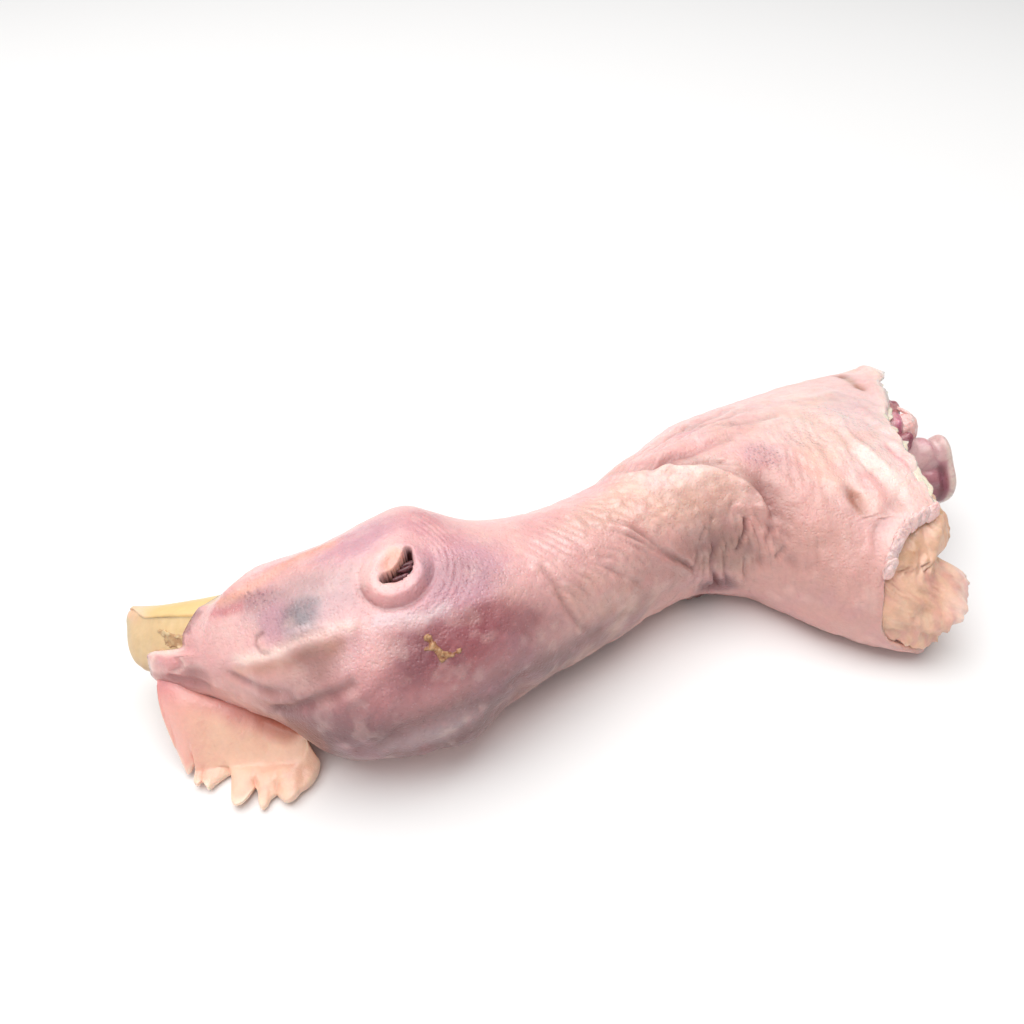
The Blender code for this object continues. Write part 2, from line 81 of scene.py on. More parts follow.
def unit(vectors: Array) -> Array:
    """Vectors brought to a length of 1."""
    return vectors / np.linalg.norm(vectors, axis=-1, keepdims=True)


def ring_angles(count: int) -> Array:
    """Evenly spaced angles of the points of a ring."""
    return np.arange(count) * 360 / count


def through(table: Array, at: Array | float) -> Array:
    """Smooth cubic through the rows of a table.

    Args:
        table: rows that start with the place and go on with its values.
        at: places to read.

    Returns:
        The values there, in a last axis of their own.
    """
    known, rows = table[:, 0], table[:, 1:]
    slope = np.gradient(rows, known, axis=0)
    at = np.clip(np.asarray(at, float), known[0], known[-1])
    i = np.clip(np.searchsorted(known, at, side="right") - 1, 0, len(known) - 2)
    span = (known[i + 1] - known[i])[..., None]
    t = (at - known[i])[..., None] / span
    return (
        rows[i] * (1 + 2 * t) * (1 - t) ** 2
        + slope[i] * span * t * (1 - t) ** 2
        + rows[i + 1] * t * t * (3 - 2 * t)
        + slope[i + 1] * span * t * t * (t - 1)
    )


@dataclass(frozen=True)
class Grain:
    """Smooth noise over space that is the same at every run."""

    size: float
    seed: int
    cells: int = 24

    def at(self, points: Array) -> Array:
        """Values from -1 to 1 at points in millimetres."""
        lattice = np.random.default_rng(self.seed).uniform(-1, 1, (self.cells,) * 3)
        scaled = points / self.size + 1000.0
        low = np.floor(scaled).astype(int)
        part = smooth(scaled - low)
        total = np.zeros(points.shape[:-1])
        for corner in np.ndindex(2, 2, 2):
            weight = np.ones(points.shape[:-1])
            for axis, step in enumerate(corner):
                weight = weight * (part[..., axis] if step else 1 - part[..., axis])
            x, y, z = (np.mod(low[..., axis] + step, self.cells) for axis, step in enumerate(corner))
            total += weight * lattice[x, y, z]
        return total


@dataclass(frozen=True)
class Cells:
    """Points scattered through space, the same at every run."""

    size: float
    seed: int
    cells: int = 24

    def at(self, points: Array) -> Array:
        """Distance to the nearest of them from points in millimetres, in spacings."""
        lattice = np.random.default_rng(self.seed).uniform(0.12, 0.88, (self.cells,) * 3 + (3,))
        scaled = points / self.size + 1000.0
        low = np.floor(scaled).astype(int)
        best = np.full(points.shape[:-1], 9.0)
        for step in np.ndindex(3, 3, 3):
            shift = np.array(step) - 1
            x, y, z = np.moveaxis(np.mod(low + shift, self.cells), -1, 0)
            best = np.minimum(best, np.linalg.norm(lattice[x, y, z] + shift + low - scaled, axis=-1))
        return best


def layered(points: Array, size: float, seed: int, layers: int = 3) -> Array:
    """Noise whose finer layers are weaker, from about -1 to 1."""
    total = sum(Grain(size / 2**i, seed + i).at(points) / 2**i for i in range(layers))
    return total / (2 - 2 / 2**layers)


class Tone(Enum):
    """Colours of the raw head in even light, as sRGB bytes; a few dark tones among them are painted shade."""

    BLUSH = (238, 186, 183)
    CREAM = (255, 222, 212)
    SHELL = (250, 204, 199)
    ROSE = (222, 148, 150)
    TAN = (212, 162, 151)
    SAND = (232, 190, 170)
    ASH = (208, 178, 180)
    MAUVE = (206, 156, 170)
    # Dark mauve: mottling of the skin, and painted shade on the lower side, under the jaw and along the beak's edge.
    DUSK = (152, 104, 109)
    # Painted shade on the lower side of head and neck.
    LOWER_SHADE = (112, 78, 79)
    HAZE = (228, 202, 205)
    EYEBALL = (146, 135, 141)
    PUPIL = (114, 110, 118)
    SAGE = (184, 162, 152)
    PEACH = (246, 184, 158)
    AMBER = (228, 166, 142)
    BRUISE = (148, 76, 84)
    PLUM = (120, 70, 79)
    SHADE = (138, 84, 82)
    # Painted shade, near black, in the ear's opening and in the notch by the nape fold; ovals read for their cover
    # alone carry it unused.
    PIT_SHADE = (52, 12, 10)
    MEMBRANE = (238, 190, 184)
    COMB = (253, 204, 178)
    COMB_PINK = (246, 180, 170)
    COMB_DEEP = (234, 158, 134)
    COMB_TIP = (255, 228, 206)
    # Painted shade in the hollow under the head at the comb's root.
    HOLLOW_SHADE = (188, 106, 74)
    HORN = (222, 190, 146)
    HORN_EDGE = (190, 168, 126)
    HORN_CREAM = (240, 212, 172)
    HORN_PINK = (246, 208, 178)
    YELLOW = (238, 202, 142)
    CRUST = (192, 146, 106)
    SCAB = (150, 92, 60)
    MEAT = (196, 118, 140)
    MEAT_DARK = (142, 66, 86)
    BONE = (214, 174, 174)
    BONE_GROOVE = (164, 94, 108)
    GRISTLE = (224, 204, 194)
    FAT = (230, 186, 158)
    FAT_PALE = (246, 216, 192)
    FAT_PINK = (232, 178, 160)
    FAT_OLIVE = (202, 162, 122)

    @property
    def linear(self) -> Array:
        """Red, green and blue as light."""
        share = np.array(self.value, float) / 255
        return np.where(share <= 0.04045, share / 12.92, ((share + 0.055) / 1.055) ** 2.4)

    def over(self, points: Array) -> Array:
        """The same, once for each point."""
        return self.linear + 0 * points


@dataclass(frozen=True)
class Route:
    """A line over the skin, as places of distance and angle."""

    places: tuple[Place, ...]

    def measure(self, s: Array, angle: Array) -> tuple[Array, Array, Array]:
        """How places lie to the route.

        Args:
            s: distances behind the beak's tip.
            angle: angles around the centreline.

        Returns:
            The distance to the route, its side, which is positive towards greater s on a route that leads
            towards the crown, and how far along the route the nearest place is, from 0 to 1.
        """
        best = np.full(np.broadcast(s, angle).shape, 1e9)
        side, along = np.ones_like(best), np.zeros_like(best)
        legs = len(self.places) - 1
        for leg, ((s0, a0), (s1, a1)) in enumerate(zip(self.places, self.places[1:])):
            px, py = s - s0, (angle - a0) * MM_PER_DEGREE
            dx, dy = s1 - s0, (a1 - a0) * MM_PER_DEGREE
            t = np.clip((px * dx + py * dy) / (dx * dx + dy * dy), 0, 1)
            off = np.hypot(px - t * dx, py - t * dy)
            nearer = off < best
            best = np.where(nearer, off, best)
            side = np.where(nearer, np.sign(px * dy - py * dx), side)
            along = np.where(nearer, (leg + t) / legs, along)
        return best, side, along


def faded(along: Array, run: float, start: float) -> Array:
    """1 along a route, easing off over a run towards both its ends, where it still has some of its start."""
    return smooth(along / run + start) * smooth((1 - along) / run + start)


@dataclass(frozen=True)
class Swelling:
    """A round rise of the skin, or a hollow where its height is negative."""

    s: float
    angle: float
    radius: float
    height: float

    def rise(self, s: Array, angle: Array) -> Array:
        """Height it adds at places on the skin."""
        return self.height * bell(apart(s, angle, self.s, self.angle) / self.radius)


@dataclass(frozen=True)
class Crease:
    """A groove along a route, or a ridge where its height is positive. It fades at both ends."""

    route: Route
    width: float
    height: float
    lips: float = 0.0

    def rise(self, s: Array, angle: Array) -> Array:
        """Height it adds at places on the skin."""
        off, _, along = self.route.measure(s, angle)
        raised = self.lips * bell((off / self.width - 2.3) / 1.2)
        return self.height * faded(along, 0.12, 0.25) * (bell(off / self.width) - raised)


@dataclass(frozen=True)
class Lap:
    """Skin that swells towards a route and drops just behind it."""

    route: Route
    swell: float
    drop: float
    reach: float
    edge: float

    def rise(self, s: Array, angle: Array) -> Array:
        """Height it adds at places on the skin."""
        off, side, along = self.route.measure(s, angle)
        near = bell(off / self.reach) * faded(along, 0.15, 0.1)
        over = smooth(off / self.edge)
        return np.where(side < 0, self.swell * near, (self.swell * (1 - over) - self.drop * over) * near)


@dataclass(frozen=True)
class Stain:
    """A soft-edged oval of colour on the skin."""

    tone: Tone
    s: float
    angle: float
    long: float
    wide: float
    cover: float
    turn: float = 0.0
    edge: float = 0.5

    def cover_at(self, s: Array, angle: Array) -> Array:
        """Share of its colour at places on the skin."""
        x, y = s - self.s, (angle - self.angle) * MM_PER_DEGREE
        turn = math.radians(self.turn)
        off = np.hypot(
            (x * math.cos(turn) + y * math.sin(turn)) / self.long,
            (y * math.cos(turn) - x * math.sin(turn)) / self.wide,
        )
        return self.cover * smooth((1 + self.edge - off) / (2 * self.edge))


@dataclass(frozen=True)
class Streak:
    """A soft-edged line of colour on the skin."""

    tone: Tone
    route: Route
    width: float
    cover: float

    def cover_at(self, s: Array, angle: Array) -> Array:
        """Share of its colour at places on the skin."""
        off, _, along = self.route.measure(s, angle)
        return self.cover * faded(along, 0.1, 0.2) * bell(off / self.width)


@dataclass(frozen=True)
class Ribs:
    """Fine wrinkles that run side by side over part of the skin."""

    where: Stain
    spacing: float
    turn: float
    height: float
    seed: int

    def rise(self, s: Array, angle: Array, points: Array) -> Array:
        """Height they add at places on the skin, which lie at the points."""
        turn = math.radians(self.turn)
        across = s * math.cos(turn) + angle * MM_PER_DEGREE * math.sin(turn)
        phase = across / self.spacing + 0.55 * Grain(2.5 * self.spacing, self.seed).at(points)
        wave = np.abs(np.sin(math.pi * phase)) ** 0.8 - 0.6
        strength = smooth(0.55 + 0.9 * Grain(3.5 * self.spacing, self.seed + 1).at(points))
        return self.height * wave * strength * self.where.cover_at(s, angle)


def ovals(*rows: tuple[float, ...]) -> tuple[Stain, ...]:
    """Ovals that are read for their cover alone."""
    return tuple(Stain(Tone.PIT_SHADE, *row) for row in rows)


def covered(spots: Sequence[Stain], s: Array, angle: Array) -> Array:
    """Share, from 0 to 1, to which places lie in any of several ovals."""
    return np.clip(sum(spot.cover_at(s, angle) for spot in spots), 0, 1)


Layer = Stain | Streak


def painted(base: Array, layers: Sequence[Layer], s: Array, angle: Array) -> Array:
    """Lays layers of colour over a base colour.

    Args:
        base: linear colour at each place.
        layers: what is laid over it, lowest first.
        s: distances behind the beak's tip.
        angle: angles around the centreline.

    Returns:
        The linear colour at each place.
    """
    return coated(base, *((layer.tone, layer.cover_at(s, angle)) for layer in layers))


def mixed(first: Array, second: Array, share: Array) -> Array:
    """Blend of two colours or fields of points by a share from 0 to 1."""
    return first * (1 - share[..., None]) + second * share[..., None]


def coated(base: Array, *coats: tuple[Tone, Array]) -> Array:
    """Lays tones over the whole of a base colour.

    Args:
        base: linear colour at each place.
        coats: tones, lowest first, each with its share from 0 to 1 at each place.

    Returns:
        The linear colour at each place.
    """
    for tone, share in coats:
        base = mixed(base, tone.linear, share)
    return base


@dataclass(frozen=True)
class Form:
    """The main form of head and neck: a curved centreline with a section at every distance along it."""

    # s, centre x, y and z, half-sizes towards throat, crown, upper cheek and table, roll.
    stations: Array = field(default_factory=lambda: np.array([
        [-4, -87.3, -30.3, 17.3, 1, 3, 3, 3, 24],
        [8, -75.9, -34, 17.8, 3.4, 12, 6.8, 6.8, 24],
        [16, -68.3, -36.5, 18, 5.2, 13.8, 9.4, 9.4, 24],
        [26, -58.8, -39.6, 18.3, 10.2, 16, 13.8, 13.5, 24],
        [36, -49.2, -42.7, 18.5, 14.4, 19.6, 17, 16.5, 24],
        [46, -39.7, -45.4, 18.8, 19.8, 24.5, 18.8, 19, 22],
        [56, -29.9, -46.9, 18.8, 23.2, 22.8, 19, 20, 18],
        [66, -19.9, -46.7, 18.3, 20.6, 19, 18.3, 19.5, 14],
        [76, -9.9, -44.4, 17.3, 16.8, 16, 17.2, 18.5, 10],
        [88, 1.6, -40.7, 16.5, 15.3, 14.6, 16.3, 17.6, 6],
        [102, 14.7, -35.3, 16.2, 15, 13.4, 16.2, 17.3, 3],
        [116, 27.8, -30.4, 16.3, 19.5, 14, 16.6, 17.4, 0],
        [130, 41.4, -27.6, 16.3, 29, 19.5, 16.8, 17.8, 0],
        [146, 57.2, -26.6, 16, 38, 34, 16, 17.3, 0],
        [162, 73.2, -26.4, 15.5, 45, 40.5, 15.6, 16.8, 0],
        [192, 103.2, -26.4, 15, 50.5, 42, 14.2, 16.5, 0],
    ]))
    sag: float = 8.0
    sag_from: float = 108.0
    sag_to: float = 158.0
    table_softness: float = 1.4
    pressed: float = 0.08

    def frame_at(self, s: Array) -> tuple[Array, Array, Array]:
        """Station values, and the directions towards the throat and the upper cheek."""
        here = through(self.stations, s)
        ahead = through(self.stations, s + 0.5)[..., :2] - through(self.stations, s - 0.5)[..., :2]
        ahead = unit(ahead)
        roll = np.radians(here[..., 7:8])
        level = np.concatenate([-ahead[..., 1:2], ahead[..., :1], np.zeros_like(roll)], axis=-1)
        up = np.array([0.0, 0.0, 1.0])
        return here, level * np.cos(roll) + up * np.sin(roll), up * np.cos(roll) - level * np.sin(roll)

    def in_section(self, s: Array, throat: Array, cheek: Array) -> Array:
        """Points given by their distance from the centreline in the section at s."""
        here, to_throat, to_cheek = self.frame_at(s)
        return here[..., :3] + to_throat * throat[..., None] + to_cheek * cheek[..., None]

    def settled(self, points: Array) -> Array:
        """Points pressed onto the table, flat where they would sink into it."""
        z, m = points[..., 2], self.table_softness
        high = np.where(z < -m, 0.0, np.where(z > m, z, (z + m) ** 2 / (4 * m)))
        return np.concatenate([points[..., :2], np.maximum(high - self.pressed, 0)[..., None]], axis=-1)

    def skin(self, s: Array, angle: Array, relief: Array | float = 0.0) -> Array:
        """Points of the outer skin, raised by a relief.

        Args:
            s: distances behind the beak's tip.
            angle: angles around the centreline.
            relief: height over the plain form at each place.

        Returns:
            The points, in millimetres.
        """
        here = through(self.stations, s)
        turn = np.radians(angle)
        wide = np.where(np.cos(turn) > 0, here[..., 3], here[..., 4]) * np.cos(turn)
        high = np.where(np.sin(turn) > 0, here[..., 5], here[..., 6]) * np.sin(turn)
        raised = 1 + relief / np.hypot(wide, high)
        points = self.in_section(s, wide * raised, high * raised)
        loose = smooth((s - self.sag_from) / (self.sag_to - self.sag_from))
        points[..., 2] -= self.sag * loose * np.cos(turn) ** 2
        return self.settled(points)


FORM = Form()


def as_mesh(bm: bmesh.types.BMesh, name: str) -> Mesh:
    """Turns a bmesh into a mesh and frees it."""
    mesh = bpy.data.meshes.new(name)
    bm.to_mesh(mesh)
    bm.free()
    return mesh


def points_of(mesh: Mesh) -> Array:
    """Points of a mesh, one a row."""
    points = np.empty(len(mesh.vertices) * 3, np.float32)
    mesh.vertices.foreach_get("co", points)
    return points.reshape(-1, 3).astype(float)


def put_points(mesh: Mesh, points: Array) -> None:
    """Moves the points of a mesh to places in millimetres."""
    mesh.vertices.foreach_set("co", ((points - ORIGIN) * MM).astype(np.float32).ravel())


def sheet(bm: bmesh.types.BMesh, points: Array, thick: float, name: str) -> Mesh:
    """Turns a grid into a thin closed sheet.

    Args:
        bm: the grid, which is freed.
        points: where its points go, in millimetres.
        thick: its thickness.
        name: name of the mesh.

    Returns:
        The mesh, whose first points are those of the grid.
    """
    for vert, point in zip(bm.verts, (points - ORIGIN) * MM):
        vert.co = point
    bmesh.ops.solidify(bm, geom=bm.faces[:], thickness=thick * MM)
    return as_mesh(bm, name)


@dataclass(frozen=True)
class Loft:
    """A closed surface through rings of points, drawn over a sphere whose poles become its ends."""

    name: str
    rings: Array
    fields: dict[str, Array]

    def build(self) -> Piece:
        """Makes the mesh object, with each field as an attribute of its points.

        Returns:
            The object, at the origin, with its faces pointing out.
        """
        count, around = self.rings.shape[:2]
        bm = bmesh.new()
        bmesh.ops.create_uvsphere(bm, u_segments=around, v_segments=count + 1, radius=1.0)
        mesh = as_mesh(bm, self.name)
        x, y, z = points_of(mesh).T
        row = np.rint(np.arctan2(np.hypot(x, y), z) / math.pi * (count + 1)).astype(int) - 1
        column = np.mod(np.rint(np.arctan2(y, x) / math.tau * around).astype(int), around)
        pole = (row < 0) | (row >= count)
        row = np.clip(row, 0, count - 1)

        def spread(values: Array) -> Array:
            """Values of the rings at the mesh's points, with the mean of the end ring at each pole."""
            out = values[row, column]
            out[pole] = values[row[pole]].mean(axis=1)
            return out

        put_points(mesh, spread(self.rings))
        for name, values in self.fields.items():
            add_attribute(mesh, name, spread(values))
        return finished(mesh)


def add_attribute(mesh: Mesh, name: str, values: Array) -> None:
    """Stores a colour or a number at each point of a mesh."""
    if values.ndim == 2:
        store = mesh.attributes.new(name, "FLOAT_COLOR", "POINT")
        colours = np.concatenate([values, np.ones((len(values), 1))], axis=1)
        store.data.foreach_set("color", colours.astype(np.float32).ravel())
    else:
        store = mesh.attributes.new(name, "FLOAT", "POINT")
        store.data.foreach_set("value", values.astype(np.float32))


def add_wet_fields(mesh: Mesh, tint: Array, wet: float) -> None:
    """Stores the colour and the even fields that the skin's finish reads."""
    add_attribute(mesh, "tint", tint)
    for name, value in (("pits", 0.0), ("specks", 0.2), ("wet", wet)):
        add_attribute(mesh, name, np.full(len(tint), value))


def finished(mesh: Mesh) -> Piece:
    """Turns the faces outward, shades them smooth and links the mesh as an object of the same name."""
    mesh.update()
    mesh.calc_loop_triangles()
    corners = np.empty(len(mesh.loop_triangles) * 3, np.int32)
    mesh.loop_triangles.foreach_get("vertices", corners)
    triangles = points_of(mesh)[corners.reshape(-1, 3)]
    if np.einsum("ij,ij->", triangles[:, 0], np.cross(triangles[:, 1], triangles[:, 2])) < 0:
        mesh.flip_normals()
    mesh.shade_smooth()
    piece = bpy.data.objects.new(mesh.name, mesh)
    bpy.context.scene.collection.objects.link(piece)
    return piece


def mounted(piece: Piece, material: Material, slot: str, node: str | None = None) -> Piece:
    """Gives a piece its finish and says what it stands for.

    Args:
        piece: the object, in place.
        material: its finish.
        slot: the record's material slot that the finish belongs to.
        node: the solid that it replaces, if any.

    Returns:
        The same object.
    """
    piece.data.materials.clear()
    piece.data.materials.append(material)
    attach(piece, BODY)
    if node is not None:
        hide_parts(node)
    log.info("%s: %d faces, finish %s", piece.name, len(piece.data.polygons), slot)
    return piece


# Finishes.


class Shader:
    """The node tree of one material."""

    def __init__(self, name: str) -> None:
        """Starts a material with only its output.

        Args:
            name: name of the material.
        """
        self.material = bpy.data.materials.new(name)
        self.material.use_nodes = True
        self.tree = self.material.node_tree
        self.tree.nodes.clear()

    def node(
        self, kind: str, settings: dict[str, object] | None = None, out: int | str = 0, **values: object
    ) -> "Signal":
        """Adds a node.

        Args:
            kind: the node's type.
            settings: its properties, which are set first.
            out: the output that is wanted.
            values: a value or a link for each input, by its name with spaces as underscores, or by its
                place as in_0.

        Returns:
            The wanted output.
        """
        made = self.tree.nodes.new(kind)
        for key, value in (settings or {}).items():
            setattr(made, key, value)
        for key, value in values.items():
            socket = made.inputs[int(key[3:])] if key.startswith("in_") else made.inputs[key.replace("_", " ")]
            if isinstance(value, Signal):
                self.tree.links.new(value.socket, socket)
            else:
                socket.default_value = value
        return Signal(self, made.outputs[out])

    def attribute(self, name: str, out: str = "Fac") -> "Signal":
        """A field stored on the mesh's points."""
        return self.node("ShaderNodeAttribute", {"attribute_name": name}, out)

    def place(self) -> "Signal":
        """Object coordinates."""
        return self.node("ShaderNodeTexCoord", None, "Object")

    def noise(self, scale: float, detail: float = 3.0, rough: float = 0.55, at: "Signal | None" = None) -> "Signal":
        """Noise from 0 to 1, scale in features a metre."""
        return self.node(
            "ShaderNodeTexNoise", None, "Fac", Vector=at or self.place(), Scale=scale, Detail=detail, Roughness=rough
        )

    def cells(self, scale: float, feature: str = "F1", at: "Signal | None" = None) -> "Signal":
        """Distance within cells, scale in cells a metre."""
        return self.node(
            "ShaderNodeTexVoronoi", {"feature": feature}, "Distance", Vector=at or self.place(), Scale=scale
        )

    def tint(self, base: "Signal", other: "Signal | Sequence[float]", share: "Signal | float") -> "Signal":
        """Mix of two colours."""
        colour = other if isinstance(other, Signal) else (*other, 1.0)
        return self.node(
            "ShaderNodeMix", {"data_type": "RGBA", "clamp_factor": True}, 2, in_0=share, in_6=base, in_7=colour
        )

    def bump(
        self, height: "Signal", distance: float, strength: float, under: "Signal | None" = None
    ) -> "Signal":
        """Normal bent by a height, distance in metres for a height of 1."""
        more = {} if under is None else {"Normal": under}
        return self.node("ShaderNodeBump", None, "Normal", Height=height, Distance=distance, Strength=strength, **more)

    def surface(self, **values: object) -> Material:
        """Closes the tree with a Principled shader.

        Args:
            values: inputs of the shader, by name with spaces as underscores.

        Returns:
            The material.
        """
        shader = self.node("ShaderNodeBsdfPrincipled", {"subsurface_method": "RANDOM_WALK"}, 0, **values)
        end = self.tree.nodes.new("ShaderNodeOutputMaterial")
        self.tree.links.new(shader.socket, end.inputs["Surface"])
        return self.material


def sign(operation: str, reflected: bool = False) -> Callable[["Signal", object], "Signal"]:
    """A method for an arithmetic sign, which adds a Math node.

    Args:
        operation: the node's operation.
        reflected: whether the signal stands on the right of the sign.

    Returns:
        The method.
    """

    def apply(self: "Signal", other: object) -> "Signal":
        """The node's value."""
        first, second = (other, self) if reflected else (self, other)
        return self.shader.node("ShaderNodeMath", {"operation": operation}, in_0=first, in_1=second)

    return apply


@dataclass
class Signal:
    """An output in a node tree. Arithmetic on values adds Math nodes."""

    shader: Shader
    socket: bpy.types.NodeSocket

    __add__, __radd__ = sign("ADD"), sign("ADD", True)
    __sub__, __rsub__ = sign("SUBTRACT"), sign("SUBTRACT", True)
    __mul__, __rmul__ = sign("MULTIPLY"), sign("MULTIPLY", True)

    def step(self, low: float, high: float) -> "Signal":
        """Eased step from 0 at low to 1 at high, which may be the lower one."""
        return self.shader.node(
            "ShaderNodeMapRange", {"interpolation_type": "SMOOTHSTEP"}, Value=self, From_Min=min(low, high),
            From_Max=max(low, high), To_Min=0.0 if low < high else 1.0, To_Max=1.0 if low < high else 0.0,
        )

    def scaled(self, factor: "Signal | float") -> "Signal":
        """A vector or colour times a number."""
        return self.shader.node("ShaderNodeVectorMath", {"operation": "SCALE"}, 0, in_0=self, Scale=factor)


@dataclass(frozen=True)
class SkinFinish:
    """Wet, plucked skin: painted colour broken up by mottling, pores and pale painted glints, over soft flesh."""

    name: str
    roughness: float = 0.36
    coat: float = 0.25
    depth: float = 0.0016
    mottle: float = 0.10
    pore_size: float = 0.00075
    pore_depth: float = 0.00011

    def build(self) -> Material:
        """Makes the material. It reads the fields tint, pits and wet, and the field of painted glints."""
        shader = Shader(self.name)
        tint = shader.attribute("tint", "Color")
        pits, specks, wet = (shader.attribute(name) for name in ("pits", "specks", "wet"))
        broad = shader.noise(150, 3)
        fine = shader.noise(900, 4, 0.65)
        light = 1.0 + (broad - 0.5) * (2 * self.mottle) + (fine - 0.5) * (2.4 * self.mottle)
        colour = tint.scaled(light)
        redder = shader.noise(420, 3).step(0.52, 0.72) * 0.16
        colour = shader.tint(colour, tuple(Tone.ROSE.linear), redder)
        warp = shader.node(
            "ShaderNodeVectorMath", {"operation": "ADD"}, in_0=shader.place(),
            in_1=shader.node("ShaderNodeTexNoise", None, "Color", Vector=shader.place(), Scale=700.0).scaled(0.0006),
        )
        pore = shader.cells(1 / self.pore_size, at=warp)
        dots = shader.cells(1150, at=warp).step(0.5, 0.1) * pits
        colour = shader.tint(colour, (0.27, 0.14, 0.18), dots * 0.5)
        # Painted highlights: pale flecks mixed into the colour as glints of the wet skin, which also dent the bump a
        # little.
        painted_glints = shader.cells(1500, at=warp).step(0.36, 0.1) * specks * shader.noise(520).step(0.46, 0.62)
        colour = shader.tint(colour, (1.0, 0.80, 0.80), painted_glints * 0.4)
        crinkle = shader.noise(2600, 3, 0.6)
        rough = self.roughness + (fine - 0.5) * 0.22 - wet * 0.14
        under = shader.bump(shader.noise(420, 4, 0.62), 0.00045, 0.6)
        under = shader.bump(pore.step(0.0, 0.55) * (0.7 + pits) - painted_glints * 0.9, self.pore_depth, 0.9, under)
        normal = shader.bump(crinkle, 0.00007, 0.8, under)
        return shader.surface(
            Base_Color=colour, Roughness=rough, Coat_Weight=self.coat + wet * 0.5, Coat_Roughness=0.16, Normal=normal,
            Subsurface_Weight=0.32, Subsurface_Scale=self.depth, Subsurface_Radius=(1.0, 0.36, 0.24),
            Specular_IOR_Level=0.5,
        )


@dataclass(frozen=True)
class HornFinish:
    """Satin horn of the beak, streaked along its length."""

    name: str
    roughness: float = 0.42

    def build(self) -> Material:
        """Makes the material. It reads the field tint."""
        shader = Shader(self.name)
        tint = shader.attribute("tint", "Color")
        stretched = shader.node("ShaderNodeMapping", None, 0, Vector=shader.place(), Scale=(0.22, 1.0, 1.0))
        streaks = shader.noise(1100, 4, 0.6, stretched)
        colour = tint.scaled(1.0 + (streaks - 0.5) * 0.22 + (shader.noise(260) - 0.5) * 0.16)
        scuffs = shader.noise(1900, 3, 0.6).step(0.62, 0.75) * 0.3
        colour = shader.tint(colour, tuple(Tone.HORN_CREAM.linear), scuffs)
        under = shader.bump(streaks, 0.00012, 0.6)
        return shader.surface(
            Base_Color=colour, Roughness=self.roughness + (streaks - 0.5) * 0.2, Coat_Weight=0.12,
            Coat_Roughness=0.25, Normal=shader.bump(shader.noise(3000, 2), 0.00003, 0.7, under),
            Subsurface_Weight=0.2, Subsurface_Scale=0.001, Subsurface_Radius=(1.0, 0.6, 0.3),
        )


@dataclass(frozen=True)
class FleshFinish:
    """Wet tissue under the skin: meat, bone or fat, by its grain and gloss."""

    name: str
    grain: float
    grain_depth: float
    roughness: float
    coat: float
    depth: float
    bleed: Triple
    vein: Triple
    vein_cover: float

    def build(self) -> Material:
        """Makes the material. It reads the field tint."""
        shader = Shader(self.name)
        tint = shader.attribute("tint", "Color")
        body = shader.noise(self.grain, 4, 0.6)
        fine = shader.noise(self.grain * 4.5, 3, 0.6)
        colour = tint.scaled(1.0 + (body - 0.5) * 0.34 + (fine - 0.5) * 0.2)
        veins = shader.cells(self.grain * 0.55, "DISTANCE_TO_EDGE").step(0.10, 0.02) * body.step(0.4, 0.6)
        colour = shader.tint(colour, self.vein, veins * self.vein_cover)
        under = shader.bump(body, self.grain_depth, 0.9)
        return shader.surface(
            Base_Color=colour, Roughness=self.roughness + (fine - 0.5) * 0.25, Coat_Weight=self.coat,
            Coat_Roughness=0.12, Normal=shader.bump(fine, self.grain_depth * 0.25, 0.9, under),
            Subsurface_Weight=0.35, Subsurface_Scale=self.depth, Subsurface_Radius=self.bleed,
        )


# The skin.


def folded(angle: Array) -> Array:
    """The angle on the upper side whose relief and colour a place on the table side repeats."""
    return np.where(angle > UNDERSIDE, UNDERSIDE * (360 - angle) / (360 - UNDERSIDE), angle)


@dataclass(frozen=True)
class Ear:
    """The ear: a smooth raised ring round an opening that leads down into the head."""

    s: float = 54.2
    angle: float = 83.0
    half: Place = (5.9, 5.4)
    height: float = 1.25
    depth: float = 5.2
    opening: Route = Route(((56.3, 77.6), (56.1, 81.0), (55.5, 84.6), (54.2, 87.2), (52.4, 88.3)))

    def away(self, s: Array, angle: Array) -> tuple[Array, Array]:
        """Distance from the ear's middle in radii, and how far that direction points down to the crown."""
        x, y = (s - self.s) / self.half[0], (angle - self.angle) * MM_PER_DEGREE / self.half[1]
        off = np.hypot(x, y) + 1e-6
        return off, y / off

    def inside(self, s: Array, angle: Array) -> Array:
        """1 inside the opening, 0 outside it."""
        off, _, along = self.opening.measure(s, angle)
        return smooth((0.5 + 0.7 * np.sin(math.pi * np.clip(along * 0.9 + 0.04, 0, 1)) - off) / 0.36 + 0.5)

    def rise(self, s: Array, angle: Array) -> Array:
        """Height it adds at places on the skin."""
        off, down = self.away(s, angle)
        low = smooth(down * 0.8 + 0.5)
        outer = smooth((1.03 - off) / (0.75 - 0.5 * low))
        funnel = smooth(off, 0.74, -0.55)
        crease = bell((off - 1.08) / 0.09) * (0.05 + 0.5 * low)
        wall = 0.7 * bell(apart(s, angle, 53.3, 80.5) / 1.5)
        return self.height * (outer - 0.5 * funnel) - crease - wall - self.depth * self.inside(s, angle)


@dataclass(frozen=True)
class SkinEdge:
    """Where the skin ends, as distances by angle."""

    table: Array

    def at(self, angle: Array) -> Array:
        """Distance behind the tip of the beak at which the skin ends."""
        return through(self.table, np.mod(angle, 360))[..., 0]


